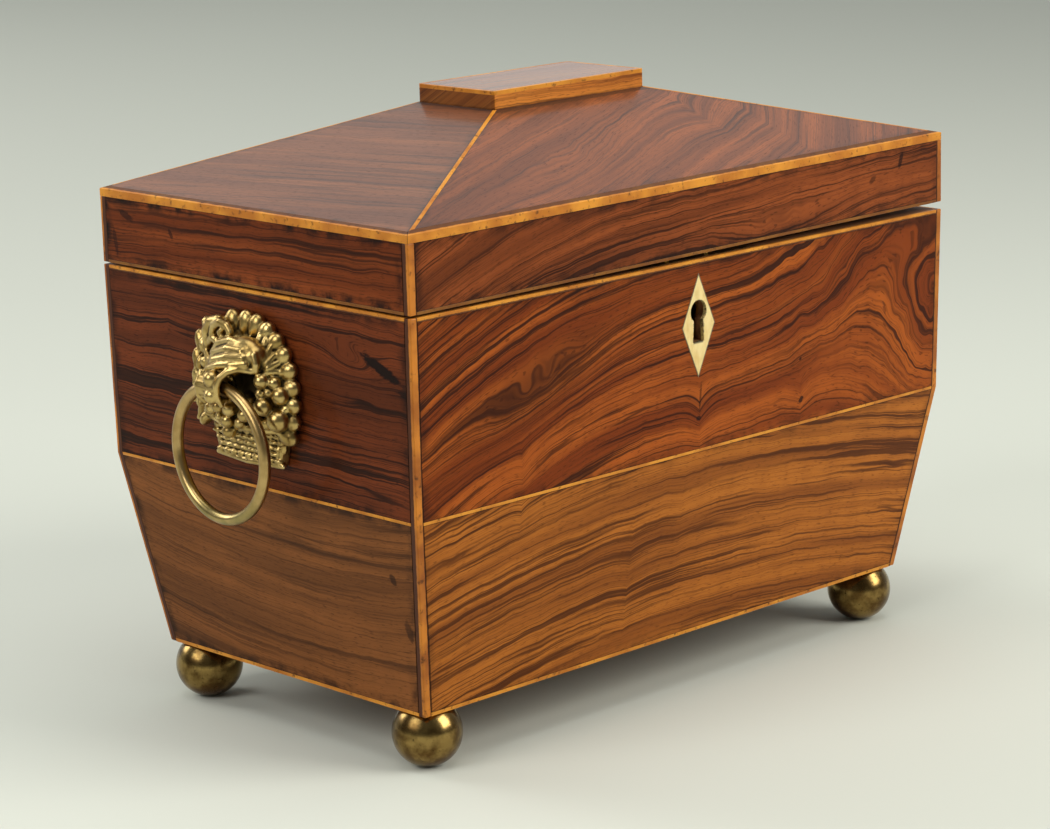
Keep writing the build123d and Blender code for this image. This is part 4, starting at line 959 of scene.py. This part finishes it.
cast_brass, tree, shader = finish("cast_brass", Metallic=1.0)
hollow = Reading(tree, add_node(tree, "ShaderNodeAttribute", {}, attribute_name="hollow").outputs["Fac"])
film, pits = patchy(tree, 6, 3.0), patchy(tree, 0.6, 3.0)
cast_colour = layered(
    tree,
    (198, 170, 108),
    (film.over(0.35, 0.68), (160, 132, 76)),
    # painted shade, with polishing dirt, in the hollows
    (hollow.over(0.0, 0.19) * 0.95, (28, 20, 12)),
    # painted highlight on the ridges
    (hollow.under(-0.40, -0.12) * 0.5, (228, 206, 152)),
)
dull = hollow.over(-0.05, 0.15) * 0.3
wire(tree, shader, cast_colour, film * 0.15 + dull + 0.22, pits, relief=0.08)

# The plate lies on the end's slightly leaning upper leaf
plate_middle = (-0.099662, 0.0, 0.093)
end_lean = math.atan(waist_inset / (seam_height - waist_height))
out_of_end = Vector((-math.cos(end_lean), 0.0, -math.sin(end_lean)))
plate_right = Vector((0.0, -1.0, 0.0))
plate_up = out_of_end.cross(plate_right)
plate_turn = Matrix((plate_right, plate_up, out_of_end)).transposed().to_4x4()
cast.transform(Matrix.Translation(plate_middle) @ plate_turn @ Matrix.Scale(0.001, 4))
for side in ("left", "right"):
    if side == "right":
        cast.transform(Matrix.Diagonal((-1.0, 1.0, 1.0, 1.0)))
        bmesh.ops.reverse_faces(cast, faces=cast.faces)
    plate_mesh = smooth_mesh(cast.copy(), f"{side}_basket_plate", cast_brass)
    depth = plate_mesh.attributes.new("hollow", "FLOAT", "POINT")
    depth.data.foreach_set("value", dirt_shade_and_highlight)
    piece(f"{side}_basket_plate", plate_mesh, "root", f"{side}_handle_plate")
cast.free()

# Compartment lids: rosewood panels with a chamfered edge, each lifted by a turned bone knob whose peg is
# glued into the middle.

far_from_edges = 9.0
veneer(
    "compartment_lid_rosewood", ["left_compartment_lid", "right_compartment_lid"],
    ((132, 64, 30), (96, 44, 21), (38, 17, 11)), 45.0,
    arches("yx", 0.002, 0.001), lambda x, y, z: (far_from_edges, far_from_edges),
    grime=0.0,
)

knob_bone, tree, shader = finish(
    "turned_bone", Coat_Weight=0.3, Coat_Roughness=0.2, Subsurface_Weight=0.1, Subsurface_Scale=0.001
)
x, y, z = where(tree)
mottle = cloud(tree, x / 2, y / 2, z / 3, 3.0)
rings_cut = cloud(tree, 0.5, 0.5, z / 0.4, 1.0)
knob_colour = layered(
    tree,
    (236, 222, 178),
    (mottle.over(0.35, 0.7), (212, 188, 132)),
    (rings_cut.over(0.6, 0.7) * 0.4, (130, 92, 50)),
)
wire(tree, shader, knob_colour, mottle * 0.1 + 0.28)
dress(knob_bone, "left_compartment_knob", "right_compartment_knob")

# Lid: band veneers on the rails, four sloping leaves on the planed deck that meet under thin mitre strings,
# a heavier string at the eave, and a low polished block on top. The hinges have lifted its right end a
# little, so the gap over the body widens from left to right.

lid_foot = 117.9
eave = 137.1


def band_edges(run):
    """The edges of a band, which leans as the lid does."""
    level_band = body_edges(run, lid_foot + 0.8, eave - 2.0, 0.0, 0.0)
    return lambda x, y, z: level_band(x, y, z - (x + body_half_width) * lid_lean)


def lid_front_figure(x, y, z):
    rise = (x + 20.0).math("MINIMUM", 0.0)
    return x, z, z + rise * rise * 0.0026 - x * 0.06


veneer(
    "lid_front_rosewood", ["lid_front_band_veneer"],
    ((142, 72, 32), (104, 50, 22), (50, 22, 10)), 51.0,
    lid_front_figure, band_edges("x"),
    eyes=[((32, 122), 4, (26, 5), 0.6, 4.0)],
    knots=[((82, 133), 70, (3.0, 1.0), 0.8), ((70, 129), 30, (2.0, 1.0), 0.6)],
    streaks=1.2, grime=0.6,
)
veneer(
    "lid_end_rosewood", ["lid_left_band_veneer", "lid_right_band_veneer"],
    ((136, 66, 27), (102, 45, 16), (44, 19, 8)), 57.0,
    lambda x, y, z: (y, z, z + y * 0.015), band_edges("y"),
    knots=[
        ((48, 131), 20, (4.0, 1.2), 0.7), ((30, 128), 60, (2.0, 0.8), 0.7),
        ((53, 124), 80, (5, 1.0), 0.6),
    ],
    grime=1.0,
)
veneer(
    "lid_back_rosewood", ["lid_back_band_veneer"], plain_tones, 63.0,
    arches("xz", 0.0008, 0.0004), band_edges("x"),
)

# The hips run from the lid's corners to the block's
leaf_rises = {"x": 44.25, "y": 71.9}
half_hip_string = 0.9
slope_gloss = 0.42


def slope_edges(run, sign):
    """Edges of a hipped leaf: the eave and the block below and above, and the two hips."""
    other = "y" if run == "x" else "x"

    def edges(x, y, z):
        along, across = (x, y) if run == "x" else (y, x)
        up_slope = half_sizes[other] - across * sign
        hip = half_sizes[run] - up_slope * (leaf_rises[other] / leaf_rises[run])
        level = up_slope.math("MINIMUM", leaf_rises[run] - up_slope)
        return hip - abs(along) - half_hip_string, level - 1.4

    return edges


def front_slope_figure(x, y, z):
    up_slope = y + body_half_depth
    return x, up_slope, up_slope * 1.075 - x * 0.36 - (x - 48.0).math("MAXIMUM", 0.0) * 0.55


def end_slope_figure(x, y, z):
    up_slope = x + body_half_width
    return y, up_slope, up_slope * 1.03 + y * 0.12


veneer(
    "front_slope_rosewood", ["lid_front_slope_veneer"],
    ((148, 78, 33), (108, 54, 23), (58, 29, 14)), 69.0,
    front_slope_figure, slope_edges("x", -1.0),
    eyes=[((-30, 16), 20, (30, 8), 0.5, 5.0)],
    pinches=[((31, 27), 7, 9, 6.0)],
    streaks=0.75, gloss=slope_gloss,
)
veneer(
    "end_slope_rosewood", ["lid_left_slope_veneer"],
    ((136, 78, 40), (108, 58, 29), (56, 29, 17)), 75.0,
    end_slope_figure, slope_edges("y", -1.0),
    streaks=0.6, gloss=slope_gloss,
)
plain_slope_tones = ((140, 72, 34), (108, 52, 26), (44, 20, 12))
veneer(
    "back_slope_rosewood", ["lid_back_slope_veneer"], plain_slope_tones, 81.0,
    arches("xy", 0.0014, 0.001), slope_edges("x", 1.0), gloss=slope_gloss,
)
veneer(
    "right_slope_rosewood", ["lid_right_slope_veneer"], plain_slope_tones, 87.0,
    arches("yx", 0.001, 0.002), slope_edges("y", 1.0), gloss=slope_gloss,
)

# The block is one piece of lighter wood, polished on top, and darker in the corner at its foot
block_left = -27.95
block_foot = 155.3
block_top = 160.1

block_wood, tree, shader = finish("block_rosewood", Specular_IOR_Level=0.1, Coat_Roughness=0.1)
x, y, z = where(tree)
inputs = {
    "Across": z + y * 0.6, "Along": x, "Seed": 93.0, "Streaks": 0.8,
    "Light": tone(214, 134, 52), "Mid": tone(184, 104, 38), "Dark": tone(92, 46, 18),
}
grain = use_group(tree, "rosewood_grain", inputs)
on_end = x.under(block_left, block_left + 0.15) * z.under(block_top - 0.1, block_top + 0.2)
block_colour = blend(tree, on_end * 0.7, grain["Colour"], tone(74, 36, 20))
height = z - x * lid_lean
on_top = height.over(block_top - 0.05, block_top)
block_colour = blend(tree, on_top * 0.55, block_colour, tone(92, 44, 22))
feed(tree, shader.inputs["Coat Weight"], on_top * 0.9 + 0.05)
fray = patchy(tree, 3, 4.0)
at_foot = (height + fray * 0.9).under(block_foot, block_foot + 1.2) * 0.85
block_colour = blend(tree, at_foot, block_colour, tone(28, 14, 9))
wire(tree, shader, block_colour, grain["Roughness"], grain["Height"], relief=0.12)
softened("lid_block", "top_block", "lid", block_wood, 0.3)

softened("lid_corner_strings", "lid_corner_stringing", "lid", brown_string, 0.25)
softened("lid_cross_strings", "lid_cross_stringing", "lid", eave_string, 0.2)
softened("lid_top_strings", "lid_top_stringing", "lid", bright_string, 0.2)

# Lid lining: a thin panel covered in dark red velvet, glued up between the rails to close the lid's
# hollow. Its pile is crushed in patches.

velvet, tree, shader = finish("red_velvet", Roughness=0.95, Sheen_Weight=0.6, Sheen_Roughness=0.4)
crush = patchy(tree, 12, 4.0)
velvet_colour = layered(tree, (102, 22, 30), (crush.over(0.35, 0.65), (82, 17, 25)))
wire(tree, shader, velvet_colour, None, patchy(tree, 0.3, 2.0), relief=0.3)
dress(velvet, "lid_lining")

# Table and light: a plain pale table top, a bright wall of light behind it and a dimmer room on the camera's
# side, with large soft lamps to the right, to the left, overhead and behind. The camera stands off the front
# left corner, a little above the lid.

table_half_width = 3.0
floor_shape = bmesh.new()
bmesh.ops.create_grid(floor_shape, x_segments=1, y_segments=1, size=table_half_width)
floor_mesh = mesh_of(floor_shape, "table_top")
table_top, tree, shader = finish("pale_table_top", Base_Color=(0.60, 0.62, 0.54, 1.0), Roughness=0.8)
floor_mesh.materials.append(table_top)
placed("table_top", floor_mesh)

caddy_middle = (0.0, 0.0, 0.06)


def soft_lamp(name, place, size, power, colour=(1, 1, 1), aim=caddy_middle):
    data = bpy.data.lights.new(name, "AREA")
    data.shape = "SQUARE"
    data.size = size
    data.energy = power
    data.color = colour
    lamp = placed(name, data)
    lamp.location = place
    lamp.rotation_euler = (Vector(aim) - Vector(place)).to_track_quat("-Z", "Y").to_euler()


soft_lamp("lamp_right", (0.55, -1.05, 0.75), 0.8, 14.5, (1.0, 0.98, 0.94))
soft_lamp("lamp_left", (-1.15, 0.05, 0.8), 0.7, 7.5)
soft_lamp("lamp_over", (-0.1, -0.15, 1.2), 0.9, 6.5)
soft_lamp("lamp_behind", (-0.5, 1.8, 1.1), 1.2, 20, aim=(0.9, 1.1, 0.0))

camera_yaw = math.radians(-44.45)
camera_pitch = math.radians(13.017)
camera_roll = math.radians(-1.31)
camera_distance = 0.85256
camera_lens_pixels = 3138.4
photo_width_pixels = 1050
aim_right = -0.004086
aim_height = 0.068052

scene = bpy.context.scene
room = bpy.data.worlds.new("room")
room.use_nodes = True
scene.world = room
tree = room.node_tree
sky = add_node(tree, "ShaderNodeTexCoord", {}).outputs["Generated"]
away = (-math.sin(camera_yaw), math.cos(camera_yaw), 0.0)
towards_wall = add_node(tree, "ShaderNodeVectorMath", {0: sky, 1: away}, operation="DOT_PRODUCT")
glow = Reading(tree, towards_wall.outputs["Value"]).over(-0.1, 0.6)
dim_room, bright_wall = (0.13, 0.13, 0.13, 1.0), (0.56, 0.59, 0.58, 1.0)
room_colour = blend(tree, glow, dim_room, bright_wall)
feed(tree, tree.nodes["Background"].inputs["Color"], room_colour)
tree.nodes["Background"].inputs["Strength"].default_value = 1.0

right = Vector((math.cos(camera_yaw), math.sin(camera_yaw), 0.0))
level_back = Vector((math.sin(camera_yaw), -math.cos(camera_yaw), 0.0))
back = level_back * math.cos(camera_pitch) + Vector((0.0, 0.0, math.sin(camera_pitch)))
up = back.cross(right)
turned_right = right * math.cos(camera_roll) + up * math.sin(camera_roll)
turned_up = up * math.cos(camera_roll) - right * math.sin(camera_roll)
aim = right * aim_right + Vector((0.0, 0.0, aim_height))
camera_data = bpy.data.cameras.new("camera")
camera_data.sensor_width = 36.0
camera_data.lens = camera_lens_pixels / photo_width_pixels * camera_data.sensor_width
camera_data.clip_start = 0.05
camera_data.clip_end = 20.0
camera = placed("camera", camera_data)
camera_turn = Matrix((turned_right, turned_up, back)).transposed()
camera.matrix_world = Matrix.Translation(aim + back * camera_distance) @ camera_turn.to_4x4()
scene.camera = camera

scene.view_settings.view_transform = "Standard"
